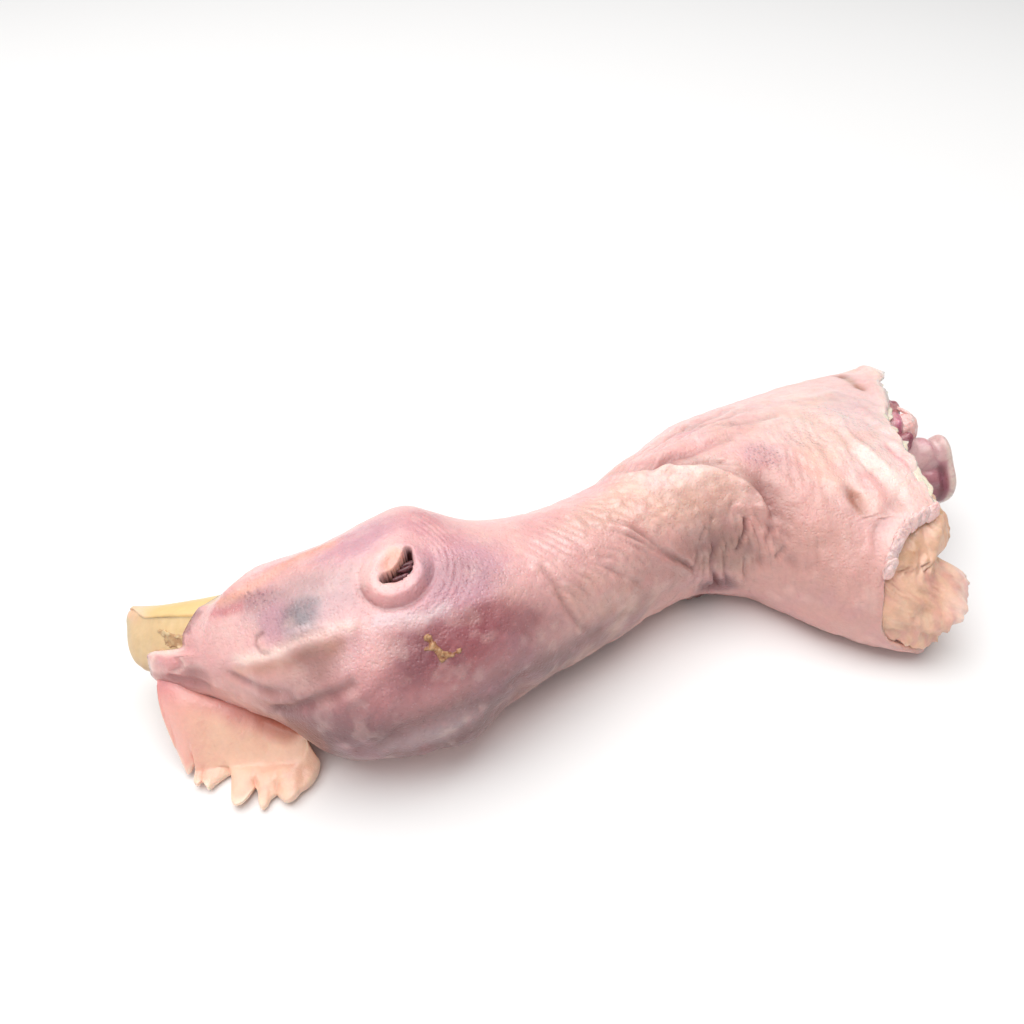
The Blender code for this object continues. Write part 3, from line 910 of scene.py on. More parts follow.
BEAK_EDGE = SkinEdge(np.array([
    [0, 22], [45, 21.6], [60, 20.6], [82, 18.7], [92, 17.4], [100, 16.6], [109, 15.8], [114, 15.4], [121, 15.4],
    [126, 15.2], [128, 14.4], [129.6, 12.2], [131.2, 9.6], [133.5, 8.7], [144, 8.2], [154, 8.4], [175, 8.4],
    [190, 8.6], [215, 10.5], [245, 15], [275, 17], [310, 21], [360, 22],
], float))
CUT_EDGE = SkinEdge(np.array([
    [0, 168], [12, 171], [22, 177], [30, 184], [37, 187.8], [45, 188.4], [50, 186.6], [54, 183.5],
    [58, 181], [62, 179.4], [67, 177.6], [73, 174.6], [80, 170.6], [90, 168.5], [100, 167.5], [108, 167],
    [114, 166.5], [119, 167], [121.5, 166], [123.5, 161], [126, 157.3], [132, 153.8], [145, 151], [160, 150],
    [176, 150], [184, 152], [190, 156], [198, 160], [206, 163], [220, 165.5], [250, 166], [290, 166], [330, 167],
    [360, 168],
], float))

# Routes that are both creased and darker.
EYE_CORNER = ((33, 108), (31.5, 111.5), (31.3, 116), (32.6, 119.3), (34.8, 118.6))
NAPE_FOLD = ((120.3, 206), (119, 192), (117, 179), (116.4, 168), (117, 156))
NECK_FOLD = ((125.6, 137), (125.2, 146), (123.6, 154), (122.4, 162))
TAB_FOLD = ((179.6, 36), (177.4, 46), (174.6, 55), (173.6, 64))
# Distance, angle, radius and height.
SWELLINGS = tuple(Swelling(*row) for row in (
    # Head.
    (38.3, 101, 4.4, 0.9), (37, 83, 6, -0.5), (33.6, 114, 1, 0.25), (42.2, 122.5, 3.6, -1.15), (57.5, 55, 7.5, 1.2),
    (12, 137, 3.2, 0.65), (18.3, 147, 2.8, -0.8), (66, 140, 9, 0.7), (73, 128, 5, -0.5), (60, 180, 5, 1.6),
    (62.5, 190, 4, 2), (54.5, 186, 3, 0.7), (66.6, 184, 2.4, -0.9), (74, 168, 5, 0.6),
    # Neck and the loose skin before the cut.
    (127, 117, 2.6, 0.6), (119.6, 202, 2.6, -1.4), (155.6, 111.5, 1.7, 0.7), (150.6, 116.5, 1.7, -1.3),
    (147, 112, 2, 0.5), (145.6, 121, 3, 0.4), (140, 128, 5, 0.6), (131.5, 151, 1.3, -0.8), (133.6, 144, 1.1, -0.6),
    (130.6, 143, 1.2, -0.55), (134.2, 157, 1.5, -0.6), (128, 166, 1.4, -0.5),
))
# The fold across the neck where the loose skin starts.
FOLD = Lap(Route((
    (100, 46), (104, 60), (107.6, 76), (112.4, 87.5), (117, 94), (121, 101), (124.5, 108.5), (127.2, 116),
    (129.2, 124), (130.2, 132), (129.6, 141),
)), 1, 1.1, 4.5, 2)
# Places, width, height, and how much the skin rises beside it.
CREASES = tuple(Crease(Route(places), *size) for places, *size in (
    # Eye and its front corner.
    (EYE_CORNER, 0.42, -0.34), (((35.2, 116), (38, 112.3), (41, 108.5), (44, 105.2)), 0.5, -0.3),
    # The fold of the lid, and the hollow below it.
    (((27.5, 129), (31.5, 124.5), (35, 120), (38, 115.3), (41, 111.2), (45, 107), (49, 104.5)), 1.9, 0.95),
    (((31, 132.5), (35, 127.5), (39.5, 120.5), (43.5, 114), (47, 110.5)), 1.3, -0.35),
    (((25, 138), (29, 141), (32, 142.4), (35, 141.6), (39.5, 137.6)), 1, -0.6, 0.25),
    (((33, 148), (37, 145), (40.5, 135.5), (44.5, 129), (47.5, 125.5)), 1.2, 0.55),
    (((33.5, 157), (38.3, 147.5), (41.4, 139.5), (43.6, 134.5), (45.6, 130.5), (48.5, 127)), 1.05, -1, 0.2),
    (((46, 141), (50, 136), (52, 130)), 0.9, -0.3), (((22, 151), (27, 157), (33, 166)), 1.8, 0.4),
    # Jaw, cheek and the corner of the mouth.
    (((22, 82), (27, 70), (37, 54), (45, 50)), 2.6, 0.7), (((22.5, 97), (26, 92), (31, 83)), 1.8, -0.35),
    (((47, 72), (46.4, 84), (48, 97), (51, 106)), 1.4, -0.2),
    # Nostril flap.
    (((14.4, 131), (15.6, 136), (15.4, 142), (13.4, 148)), 0.6, -0.3, 0.6),
    (((12, 157), (16.5, 157.5), (21.5, 160)), 1.5, -0.6),
    # The flesh behind the eye.
    (((52, 116), (57, 118), (62, 115), (68, 117)), 1.6, -0.3), (((52, 160), (60, 152), (68, 150)), 2.6, -0.5),
    (((68.6, 158), (69.4, 170), (69.6, 184), (68.6, 198)), 1.5, -1),
    (((46, 168), (52, 163), (58, 161), (65, 162)), 1.4, -0.55, 0.2),
    (((55, 180), (58, 174), (62, 172)), 0.8, -0.35, 0.2),
    # Neck.
    (((77.6, 106), (79, 122), (79.5, 136), (81, 151), (82.5, 164)), 0.6, -0.55, 0.45),
    (((95.8, 96), (97.6, 108), (99.6, 122), (102.2, 138), (105.2, 151), (109, 165), (112, 178)), 0.5, -0.6, 0.5),
    (((93.6, 102), (95.6, 113), (98, 124), (100.6, 136), (103.6, 148), (106.6, 160)), 0.5, -0.5, 0.5),
    (((92.6, 105), (95, 118), (98, 134)), 0.5, -0.35, 0.5), (((88.5, 122), (92.5, 141), (96, 156)), 0.55, -0.3, 0.5),
    (((85.5, 90), (87, 110), (90, 125)), 0.6, -0.2, 0.5),
    (((110, 84), (113, 81), (117, 79), (121.5, 82), (125, 82), (129, 82), (134, 80)), 0.8, -0.7, 0.4),
    (((113, 70), (120, 73), (128, 73), (137, 69)), 1.5, 0.7), (((119, 55), (129, 57), (141, 53)), 1, -0.55, 0.4),
    (((126, 62), (134, 63), (144, 60)), 0.7, -0.4, 0.4), (((132, 70), (140, 72), (148, 70)), 0.7, -0.4, 0.4),
    (((125, 95), (126.7, 99), (129, 102)), 0.4, -0.4, 0.4), (NAPE_FOLD, 0.6, -1.1, 0.4),
    (((122.2, 196), (120.6, 182), (119.5, 170), (120, 156)), 0.42, -0.5, 0.4),
    (((125.6, 188), (124.6, 176), (124.6, 166)), 0.42, -0.5, 0.4),
    (((112, 186), (111, 172), (112.6, 160)), 0.5, -0.4, 0.4), (NECK_FOLD, 0.46, -0.8, 0.4),
    (((130.6, 161), (132, 155), (133.5, 149)), 0.42, -0.7, 0.5), (((129.3, 151), (131.6, 141)), 0.5, -0.5, 0.4),
    (((113, 152), (114, 147), (115.4, 142)), 0.4, -0.5, 0.5), (((115.8, 148), (117.6, 136)), 0.4, -0.5, 0.5),
    (((121.3, 137), (123.2, 127)), 0.4, -0.5, 0.5), (((137, 158), (139, 150), (139, 142)), 0.6, -0.25, 0.4),
    # The loose skin before the cut.
    (((139, 104), (147, 108), (154, 110)), 1.6, 0.5), (((138, 95), (146, 98), (152, 98)), 1.8, 0.55),
    (((158, 86), (157.6, 92), (158.4, 98), (160.4, 104), (162.5, 110)), 0.9, 0.8),
    (((156.6, 88), (155.2, 96), (155.8, 102), (157.2, 108)), 0.6, -0.5),
    (((153.5, 93), (152.2, 101), (152.8, 109)), 1.2, 0.5), (((150.3, 91), (149, 98), (149, 106)), 0.9, -0.35),
    (((145, 84), (152, 82), (160, 80)), 1.5, 0.5), (((152, 62), (162, 66), (171, 66)), 1.8, 0.5),
    # The skin's edge rolled back above the fat.
    (((166, 119), (161.5, 120.4), (157.6, 124), (154.4, 129.5), (152.4, 137), (151.4, 146)), 1.3, 1.3),
    (((160.5, 117), (156, 120.5), (152.2, 127), (150.2, 136)), 0.7, -0.5),
    # The curled tab at the far side of the cut, and the fold that runs down from it.
    (((183.5, 22), (186.2, 34), (186, 45), (182.6, 56)), 1.9, 1.7), (TAB_FOLD, 1, -1.1),
    (((180, 58), (177.2, 64), (174.4, 70), (172.4, 76)), 1, 0.9),
))

STAINS = tuple(Stain(*row) for row in (
    # Broad colour of the head.
    (Tone.ROSE, 22, 140, 12, 9, 0.35), (Tone.TAN, 34, 160, 14, 9, 0.55), (Tone.ASH, 43, 84, 9, 4.5, 0.75),
    (Tone.SHELL, 27, 112, 7, 6, 0.5), (Tone.SHELL, 45, 66, 7, 4, 0.3), (Tone.MAUVE, 47, 58, 7, 5, 0.8),
    (Tone.SHELL, 46, 112, 5, 4, 0.4), (Tone.SHELL, 54, 84, 6.4, 5.6, 0.8, 0, 0.25), (Tone.ASH, 32, 94, 6, 4, 0.5),
    (Tone.DUSK, 31, 90, 4.2, 2.8, 0.45), (Tone.MAUVE, 60.5, 63, 7, 5, 0.5), (Tone.MAUVE, 64, 92, 8, 6.5, 0.85),
    (Tone.DUSK, 63, 94, 5, 3.6, 0.4), (Tone.MAUVE, 58, 107, 8, 3.6, 0.5), (Tone.ROSE, 61, 64, 6, 5, 0.4),
    # Eye.
    (Tone.ASH, 38.4, 101, 6.6, 5.2, 0.6), (Tone.MAUVE, 34.4, 103, 2.8, 3.6, 0.7),
    (Tone.EYEBALL, 38.8, 101, 3.3, 2.9, 0.8, -20, 0.5), (Tone.PUPIL, 40, 98.4, 2, 1.5, 0.65, -20, 0.6),
    (Tone.SAGE, 42, 121.5, 5.5, 2.6, 0.5, -34), (Tone.MAUVE, 46.5, 119, 2.2, 2, 0.3),
    # Mouth and beak's root.
    (Tone.DUSK, 18.4, 148, 2.8, 3, 0.35), (Tone.ROSE, 12, 137, 3.4, 3, 0.45), (Tone.BRUISE, 14.5, 161, 6, 2.6, 0.5),
    (Tone.PEACH, 53.4, 80.5, 1.8, 2, 0.8),
    # Bruise and dark mottling behind the cheek, and painted shade under the jaw and along the nape on the lower side.
    (Tone.DUSK, 58, 152, 16, 9, 0.7), (Tone.ROSE, 57, 132, 12, 8, 0.45),
    (Tone.BRUISE, 61.5, 126, 7, 4.6, 0.85, 12, 0.6), (Tone.BRUISE, 71, 131, 4, 3, 0.4),
    (Tone.PLUM, 55.5, 125, 3.4, 4.6, 0.6, 0, 0.7), (Tone.BRUISE, 66, 119, 4.4, 2.6, 0.7, 0, 0.6),
    (Tone.DUSK, 76, 150, 12, 9, 0.3), (Tone.DUSK, 43, 156, 10, 7, 0.85), (Tone.LOWER_SHADE, 47, 172, 14, 7, 0.75),
    (Tone.LOWER_SHADE, 66, 177, 13, 7, 0.85), (Tone.LOWER_SHADE, 85, 184, 14, 7, 0.7), (Tone.HAZE, 57, 168, 7, 2.6, 0.4),
    # Neck, with painted shade on its lower side and in the notch by the nape fold.
    (Tone.TAN, 104, 132, 22, 13, 0.5), (Tone.LOWER_SHADE, 102, 166, 18, 8, 0.22), (Tone.SHELL, 96, 62, 22, 8, 0.6),
    (Tone.ROSE, 84, 74, 6, 4, 0.35), (Tone.SAND, 98, 88, 12, 5, 0.5), (Tone.SAND, 114, 108, 15, 9, 0.8, 20),
    (Tone.CREAM, 116, 92, 11, 5, 0.9, 16), (Tone.CREAM, 127, 117, 2.8, 2.8, 0.55),
    (Tone.SHELL, 128, 57, 16, 10, 0.95), (Tone.ROSE, 119, 80, 8, 1.6, 0.4), (Tone.MAUVE, 135.5, 97, 4.5, 2.6, 0.7),
    (Tone.MAUVE, 146.5, 88, 4, 2.4, 0.45), (Tone.MAUVE, 126, 62, 4, 2, 0.35), (Tone.TAN, 122, 150, 10, 12, 0.7),
    (Tone.LOWER_SHADE, 120, 164, 6, 5, 0.45), (Tone.LOWER_SHADE, 118, 158, 8, 7, 0.45), (Tone.SAND, 119, 172, 7, 4, 0.3),
    (Tone.LOWER_SHADE, 119.6, 198, 5, 4, 0.9), (Tone.DUSK, 132, 124, 5, 5, 0.35),
    # Loose skin before the cut, with painted shade in its small dimple.
    (Tone.CREAM, 156, 84, 18, 11, 0.85), (Tone.TAN, 137, 122, 9, 8, 0.55), (Tone.TAN, 142, 152, 12, 10, 0.5),
    (Tone.PEACH, 147, 101, 5, 3.6, 0.4), (Tone.ROSE, 155.8, 111.5, 2.2, 1.8, 0.5),
    (Tone.AMBER, 150.6, 117.2, 1.9, 1.7, 0.9), (Tone.CREAM, 159.5, 102, 4.5, 2.6, 0.7, 40),
    (Tone.HAZE, 166, 82, 9, 7, 0.5), (Tone.CREAM, 185, 40, 4.5, 7, 0.7),
))

# Lines of colour, lowest first. The dark lines are painted shade: in the creases at the eye's corner and below the
# eye, along the nape and neck folds, under the ear's rim, and near black in the notch by the nape fold.
STREAKS = tuple(Streak(tone, Route(places), *line) for tone, places, *line in (
    (Tone.HAZE, ((36, 108.5), (38.5, 107), (41.5, 103.5)), 0.45, 0.5),
    (Tone.HAZE, ((35.6, 105.5), (38.5, 104.2)), 0.35, 0.3),
    # The orange band on the lower slope of the lid's fold: the skin's warm tone, and painted half-shade.
    (Tone.AMBER, ((26.5, 137), (30, 132), (34, 126.5), (39.5, 118.5), (43.5, 112.8), (47, 109)), 1.6, 0.7),
    (Tone.CREAM, ((26, 128), (30.5, 123.5), (35, 118), (37.5, 114), (40.5, 110), (45, 105.5), (49, 104)), 0.9, 0.9),
    (Tone.SHADE, EYE_CORNER, 0.4, 0.35),
    (Tone.PEACH, ((21.5, 90), (25, 86.5), (28, 80), (36, 56), (44, 52)), 1.7, 0.8),
    (Tone.ROSE, ((21, 97), (24.5, 97), (28, 92)), 1.3, 0.9),
    # A painted shadow on the skin along the edge of the beak.
    (Tone.DUSK, ((18.4, 93), (17.4, 99), (16.4, 107), (16, 114)), 0.7, 0.65),
    (Tone.CREAM, ((15.9, 122), (14.6, 129), (12, 130.6), (9.4, 132.6), (8.9, 142), (8.9, 156)), 0.5, 0.8),
    (Tone.CREAM, ((15.4, 131), (16.4, 137), (16, 143), (13.6, 149)), 0.4, 0.5),
    (Tone.ROSE, ((49, 90), (50.6, 96), (53.5, 98.4), (57, 96.4), (59, 93.6)), 1, 0.55),
    (Tone.SHADE, ((48, 88), (49.3, 95), (52.2, 100.4), (56, 101), (59.6, 96)), 0.42, 0.5),
    (Tone.HAZE, ((50, 104), (54.5, 105), (58, 108), (62, 108)), 1, 0.7),
    (Tone.ROSE, ((111, 60), (115, 83), (121, 95), (127, 111)), 0.8, 0.35), (Tone.SHADE, NAPE_FOLD, 0.6, 0.75),
    (Tone.SHADE, NECK_FOLD, 0.4, 0.6), (Tone.CRUST, TAB_FOLD, 1, 0.65),
    (Tone.PIT_SHADE, ((120.2, 206), (119.2, 196), (118, 184)), 0.45, 0.5),
    (Tone.HORN_CREAM, ((22.5, 46), (21.4, 60), (19.6, 78), (18.6, 88)), 1.5, 0.75),
    (Tone.PEACH, ((25.5, 46), (24.4, 62), (23, 76)), 1.5, 0.55),
    (Tone.SHADE, ((33.5, 157), (38.3, 147.5), (41.4, 139.5), (43.6, 134.5), (45.6, 130.5)), 0.9, 0.35),
    (Tone.SHADE, ((26, 139), (29, 141), (32, 142.4), (35, 141.6)), 0.8, 0.3),
    (Tone.CREAM, ((28, 128), (31.5, 123.5), (35, 119), (38, 114.3)), 0.8, 0.4),
    (Tone.ROSE, ((163.4, 96), (164.6, 101), (165.4, 106)), 0.5, 0.7),
))

# Where pores show as dark dots, where pale glints are painted on the skin, and where it is wettest.
PORES = ovals(
    (30.6, 88, 3.6, 2, 1, 10, 0.4), (63, 97, 7, 6, 0.35), (58, 150, 16, 9, 0.25), (135.5, 97, 4, 2.4, 0.9),
    (146.5, 89, 4, 2, 0.6), (128, 64, 9, 4, 0.35),
)
GLINTS = ovals(
    (25, 106, 4, 3.4, 1), (30, 100, 4, 3, 0.9), (50, 115, 4.5, 4, 0.8), (66, 96, 7, 5, 0.7), (63, 74, 5, 3, 0.5),
    (30, 150, 9, 6, 0.3), (90, 104, 10, 8, 0.5), (62, 150, 16, 9, 0.3), (140, 95, 12, 7, 0.5),
    (118, 110, 14, 8, 0.4),
)
SHINE = ovals(
    (25, 106, 6, 5, 0.8), (50, 115, 6, 5, 0.6), (90, 90, 12, 8, 0.5), (38, 101, 5, 4, 0.5), (155, 90, 12, 8, 0.5),
)
RIBS = tuple(Ribs(ovals(oval)[0], *lie) for oval, *lie in (
    ((94, 116, 18, 13, 1), 1.9, -27, 0.36, 201), ((84, 138, 10, 10, 1), 2.5, -15, 0.3, 205),
    ((121, 168, 12, 12, 1), 1.8, -10, 0.5, 209), ((138, 150, 12, 12, 0.8), 1.8, 8, 0.2, 213),
    ((124, 64, 18, 8, 1), 1.7, 84, 0.36, 217), ((62, 158, 18, 10, 1), 2.8, 35, 0.34, 221),
    ((148, 98, 12, 9, 1), 1.9, 20, 0.3, 225), ((66, 128, 9, 7, 1), 1.7, 50, 0.22, 229),
    ((28, 118, 8, 5, 1), 1.6, 70, 0.1, 233), ((104, 76, 14, 6, 1), 1.6, -40, 0.2, 237),
))


@dataclass(frozen=True)
class Core:
    """The meat that runs through the neck."""

    start: float = 90.0
    wide: float = 13.4
    high: float = 11.8
    centre: float = 14.6
    cover: float = 3.6

    def surface(self, s: Array, angle: Array, out: Array | float = 0) -> Array:
        """Points of its surface, moved out by a distance.

        Args:
            s: distances behind the beak's tip.
            angle: angles around the centreline.
            out: how far the points are moved out.

        Returns:
            The points, in millimetres.
        """
        turn = np.radians(angle)
        narrow = 1 - 0.35 * smooth((self.start + 12 - s) / 12)
        here, throat, cheek = FORM.frame_at(s)
        centre = here[..., :3].copy()
        centre[..., 2] = self.centre + 1.4 * smooth((self.start + 40 - s) / 40)
        half = np.minimum(self.wide, np.where(np.cos(turn) > 0, here[..., 3], here[..., 4]) - self.cover)
        wide = (half * narrow + out) * np.cos(turn)
        high = (self.high * narrow + out) * np.sin(turn)
        return centre + throat * wide[..., None] + cheek * high[..., None]


CORE = Core()


@dataclass(frozen=True)
class Beak:
    """Both halves of the beak, parted at the mouth line."""

    # s, half-sizes towards throat and crown, half-width.
    sizes: Array = field(default_factory=lambda: np.array([
        [-1, 1.1, 1.2, 0.7],
        [0, 1.3, 3.1, 1.9],
        [1, 1.5, 5.2, 2.5],
        [2.5, 1.7, 7.5, 3.3],
        [4.5, 1.9, 9.4, 4.2],
        [8, 2.2, 10.9, 5.6],
        [14, 3.2, 11.3, 7.2],
        [23, 5.8, 10.6, 8.2],
    ]))
    base: float = 22.4
    mouth: float = -1.7
    gap: float = 0.05
    lower_tip: float = 0.4
    inset: float = 0.985
    blunt: Place = (0.5, 0.7)
    around: int = 96

    def section(self, s: Array, angle: Array, out: Array | float = 0) -> Array:
        """Points of the whole beak's surface, moved out by a distance.

        Args:
            s: distances behind the beak's tip.
            angle: angles around the centreline.
            out: how far the points are moved out.

        Returns:
            The points, in millimetres.
        """
        here = through(self.sizes, s) + np.asarray(out)[..., None]
        turn = np.radians(angle)
        crown = np.maximum(-np.cos(turn), 0)
        wide = np.where(np.cos(turn) > 0, here[..., 0], here[..., 1]) * np.cos(turn)
        high = here[..., 2] * np.sin(turn) * (1 - 0.2 * crown**2)
        return FORM.in_section(s, wide, high)

    def mouth_at(self, s: Array) -> Array:
        """Place of the mouth line across the beak, at the tip close to its throat side."""
        back = smooth(s / 6.5)
        return 0.85 * through(self.sizes, s)[..., 0] * (1 - back) + self.mouth * back

    def upper(self) -> Piece:
        """Builds the upper mandible, hooked and blunt, with a worn edge along the mouth.

        Returns:
            The object, with its colour.
        """
        s = np.concatenate([np.linspace(-0.95, 3, 30), np.linspace(3.2, self.base, 90)])[:, None]
        turn = np.radians(ring_angles(self.around))[None, :]
        throat, crown, half = (through(self.sizes, s)[..., i] for i in range(3))
        crown_side = np.maximum(-np.cos(turn), 0)
        wide = np.where(np.cos(turn) > 0, throat, crown) * np.cos(turn)
        nose = smooth(s, 5, -5.4)
        flat = self.mouth_at(s) - self.gap / 2
        wide = np.minimum(wide, flat)
        high = half * np.sin(turn) * (1 - 0.2 * crown_side**2)
        s = s + nose * (self.blunt[0] + self.blunt[1] * smooth((wide + 7.5) / 8)) + 0 * turn
        points = FORM.in_section(s, wide, high)
        worn = layered(points, 5, 11) * 0.16 + Grain(1.6, 14).at(points) * 0.06
        growth = 0.05 * np.sin((s + 0.5 * Grain(3, 17).at(points)) * math.tau / 1.9) * smooth(s, 2, 4)
        points = FORM.in_section(s, wide - (worn + growth) * crown_side, high * (1 + (worn + growth) / 7))
        return Loft("upper_mandible", points, {"tint": self.upper_tint(s, turn, points)}).build()

    def upper_tint(self, s: Array, turn: Array, points: Array) -> Array:
        """Beige horn, greener at its worn front edge and yellower towards the corner of the mouth, with painted shade
        on its lower side.
        """
        angle = np.degrees(turn) + 0 * s
        s = s + 0 * turn
        front = smooth((4 - s + 1.4 * Grain(4, 21).at(points)) / 5) * smooth(angle, 95, 25)
        orange = smooth(angle, 112, -14) * smooth(s, 7, -5)
        back = smooth(s, 6.5, 7) * smooth(angle, 140, -30)
        cream = smooth((layered(points, 6, 31) + 0.1) / 0.6)
        # Painted shade on the lower side of the beak.
        low = smooth(angle, 150, 18) * smooth(s, 3, 5)
        colour = coated(
            Tone.HORN.over(points),
            (Tone.HORN_EDGE, 0.8 * front), (Tone.PEACH, 0.4 * orange), (Tone.YELLOW, 0.6 * back),
            (Tone.HORN_CREAM, 0.4 * cream), (Tone.SHADE, 0.35 * low),
        )
        mouth = bell((angle - 98) / 4) * smooth(s, 0.4, 2)
        return mixed(colour, Tone.CRUST.linear * 0.7, mouth * 0.12)

    def lower(self) -> Piece:
        """Builds the lower mandible, a bright yellow wedge behind the upper one.

        Returns:
            The object, with its colour.
        """
        s = np.concatenate([np.linspace(self.lower_tip, 4, 16), np.linspace(4.4, self.base, 50)])[:, None]
        turn = np.radians(ring_angles(self.around))[None, :]
        throat, half = (through(self.sizes, s)[..., i] for i in (0, 2))
        tip = smooth((s - self.lower_tip + 1.2) / 3)
        base = self.mouth_at(s) + self.gap / 2
        wide = base + (throat - base) * np.maximum(np.cos(turn), 0) ** 0.75
        points = FORM.in_section(s + 0 * turn, wide, half * self.inset * tip * np.sin(turn))
        points = points + 0.1 * layered(points, 4, 47)[..., None]
        pale = smooth(layered(points, 7, 41) / 0.6)
        pink = smooth(s, 8.5, -5) * smooth(-layered(points, 5, 44) / 0.4 + 0.8)
        colour = coated(Tone.YELLOW.over(points), (Tone.HORN_CREAM, 0.45 * pale), (Tone.HORN_PINK, 0.85 * pink))
        return Loft("lower_mandible", points, {"tint": colour}).build()


BEAK = Beak()


@dataclass(frozen=True)
class Skin:
    """The plucked skin of head and neck, from its lip on the beak to the ragged sleeve at the cut."""

    around: int = 240
    denser: float = 0.42
    lip: float = 0.8
    thin_lip: float = 0.3
    gap: float = 0.3
    wall: float = 1.6
    hollow: float = 15.0
    far_hollow: float = 24.0
    rim: float = 0.8
    bounds: Place = (10, 170)
    ear: Ear = Ear()
    pebbles: Stain = Stain(Tone.PIT_SHADE, 115, 112, 18, 9.5, 1, 25)
    nibs: Stain = Stain(Tone.PIT_SHADE, 92, 112, 20, 13, 1)

    def lip_at(self, angle: Array) -> Array:
        """How far the skin's lip stands off the beak, thinner at the throat side."""
        full = smooth(angle, 98, 18) * smooth(angle, 262, -18)
        return self.thin_lip + (self.lip - self.thin_lip) * full

    def angles(self) -> Array:
        """Angles of the columns, closer together on the upper side."""
        even = ring_angles(self.around)
        turned = even - np.degrees(self.denser * np.sin(np.radians(even - 100)))
        return turned - turned[0]

    def stations(self) -> Array:
        """Distances of the rows, closest together at eye and ear."""
        marks = np.array([self.bounds[0], 26, 47, 63, 84, 134, self.bounds[1]])
        steps = (0.5, 0.42, 0.34, 0.46, 0.5, 0.58)
        runs = [np.arange(a, b, step) for a, b, step in zip(marks, marks[1:], steps)]
        return np.concatenate([*runs, [marks[-1]]])

    def relief(self, s: Array, angle: Array) -> dict[str, Array]:
        """Relief of the skin, the same on both cheeks.

        Args:
            s: distances behind the beak's tip.
            angle: angles around the centreline.

        Returns:
            The height over the plain form, with how deep a place lies in a crease and how much it stands out
            as a bump, both from 0 to 1.
        """
        head = folded(angle)
        plain = FORM.skin(s, angle)
        near = s + 0.35 * Grain(5, 3).at(plain) * smooth(s, 24, 8)
        beside = head + 1 * Grain(5, 5).at(plain)
        total, cavity = self.ear.rise(s, head), np.zeros_like(plain[..., 0])
        vary = 0.9 + 0.75 * Grain(5, 9).at(plain) * smooth(s, 74, 10)
        for item in (*SWELLINGS, FOLD, *CREASES):
            step = item.rise(near, beside) * vary
            total += step
            cavity += np.clip(-step, 0, 1.2)
        for rib in RIBS:
            step = rib.rise(s, head, plain)
            total += step
            cavity += np.clip(-1.6 * step, 0, 0.5)
        neck = smooth(s, 70, 20)
        total += layered(plain, 13, 51) * (0.3 + 0.4 * neck)
        calm = 1 - smooth((1.15 - self.ear.away(s, head)[0]) / 0.3)
        under = smooth(angle, 140, 25) * smooth(angle, 230, -25)
        total += layered(plain, 3.6, 61, 3) * (0.15 + 0.2 * neck + 0.18 * under) * calm
        total += Grain(1.5, 67).at(plain) * (0.035 + 0.07 * neck) * calm
        ruffle = smooth((s - self.cut_at(angle) + 13) / 9) * smooth(angle, 52, 12) * smooth(angle, 120, -10)
        total += ruffle * (0.6 * layered(plain, 2.6, 93, 2) + 0.25 * np.abs(Grain(1.5, 96).at(plain)))
        cell = Cells(2.3, 71).at(plain)
        pebble = self.pebbles.cover_at(s, angle) * (1 - smooth(cell / 0.72))
        sparse = Cells(2.9, 75).at(plain)
        nib = bell(sparse / 0.24) * self.nibs.cover_at(s, angle)
        total += 0.3 * pebble + 0.26 * nib + self.rings_behind_ear(s, head)
        gaps = self.pebbles.cover_at(s, angle) * smooth(cell, 0.55, 0.25)
        total = total * smooth((s - BEAK_EDGE.at(angle)) / 3)
        return {
            "height": total,
            "cavity": np.clip(cavity + 0.2 * gaps, 0, 1),
            "bump": np.clip(0.45 * pebble + nib, 0, 1),
        }

    def rings_behind_ear(self, s: Array, angle: Array) -> Array:
        """Fine wrinkles that curve round behind the ear."""
        off = self.ear.away(s, angle)[0] * self.ear.half[0]
        where = smooth((s - self.ear.s - 2) / 4) * smooth(off, 6.6, 1.5) * smooth(off, 16, -5)
        wobble = 0.35 * Grain(4, 115).at(FORM.skin(s, angle))
        return 0.1 * where * np.sin((off + wobble) * math.tau / 1.12) * smooth(angle, 118, -16)

    def colour(self, s: Array, angle: Array, points: Array, relief: dict[str, Array]) -> Array:
        """Painted colour of the skin, in light.

        Args:
            s: distances behind the beak's tip.
            angle: angles around the centreline.
            points: the points there.
            relief: what relief() returns there.

        Returns:
            The linear colour.
        """
        head = folded(angle)
        near = s + 0.35 * Grain(5, 3).at(points)
        beside = head + 1 * Grain(5, 5).at(points)
        base = coated(
            Tone.BLUSH.over(points),
            (Tone.TAN, 0.6 * smooth(head, 120, 50)), (Tone.SHELL, 0.5 * smooth(s, 130, 25) * smooth(head, 150, -30)),
        )
        base = painted(base, STAINS, s + 0.9 * layered(points, 5, 71), head + 2.4 * layered(points, 4, 77))
        base = painted(base, STREAKS, near, beside)
        blotch = smooth((layered(points, 4, 81) + 0.05) / 0.5)
        # Darker mauve blotches on the lower side behind the eye: mottling of the skin that is also painted shade on
        # that side.
        dark = smooth(s, 48, 10) * smooth(s, 92, -18) * smooth(head, 112, 25)
        warm = smooth(layered(points, 9, 181) / 0.5) * smooth(s, 60, 20)
        cool = smooth(layered(points, 7, 185) / 0.5 - 0.1)
        pink = smooth((layered(points, 4, 85) - 0.05) / 0.4) * smooth(s, 84, 20)
        pale = smooth((layered(points, 3, 88) - 0.1) / 0.35)
        return coated(
            base,
            (Tone.DUSK, 0.5 * dark * blotch), (Tone.SAND, 0.35 * warm), (Tone.MAUVE, 0.22 * cool),
            (Tone.ROSE, 0.16 * pink), (Tone.CREAM, 0.18 * pale), (Tone.CREAM, 0.4 * relief["bump"]),
            # Painted shade: darker in the creases and between the pebbles, and near black in the ear's opening.
            (Tone.SHADE, 0.55 * relief["cavity"]), (Tone.PIT_SHADE, smooth(self.ear.inside(s, head) * 5 - 0.4)),
        )

    def hollow_at(self, angle: Array) -> Array:
        """Depth to which the sleeve stands open behind the cut."""
        return self.far_hollow + (self.hollow - self.far_hollow) * smooth(0.5 - np.cos(np.radians(angle)))

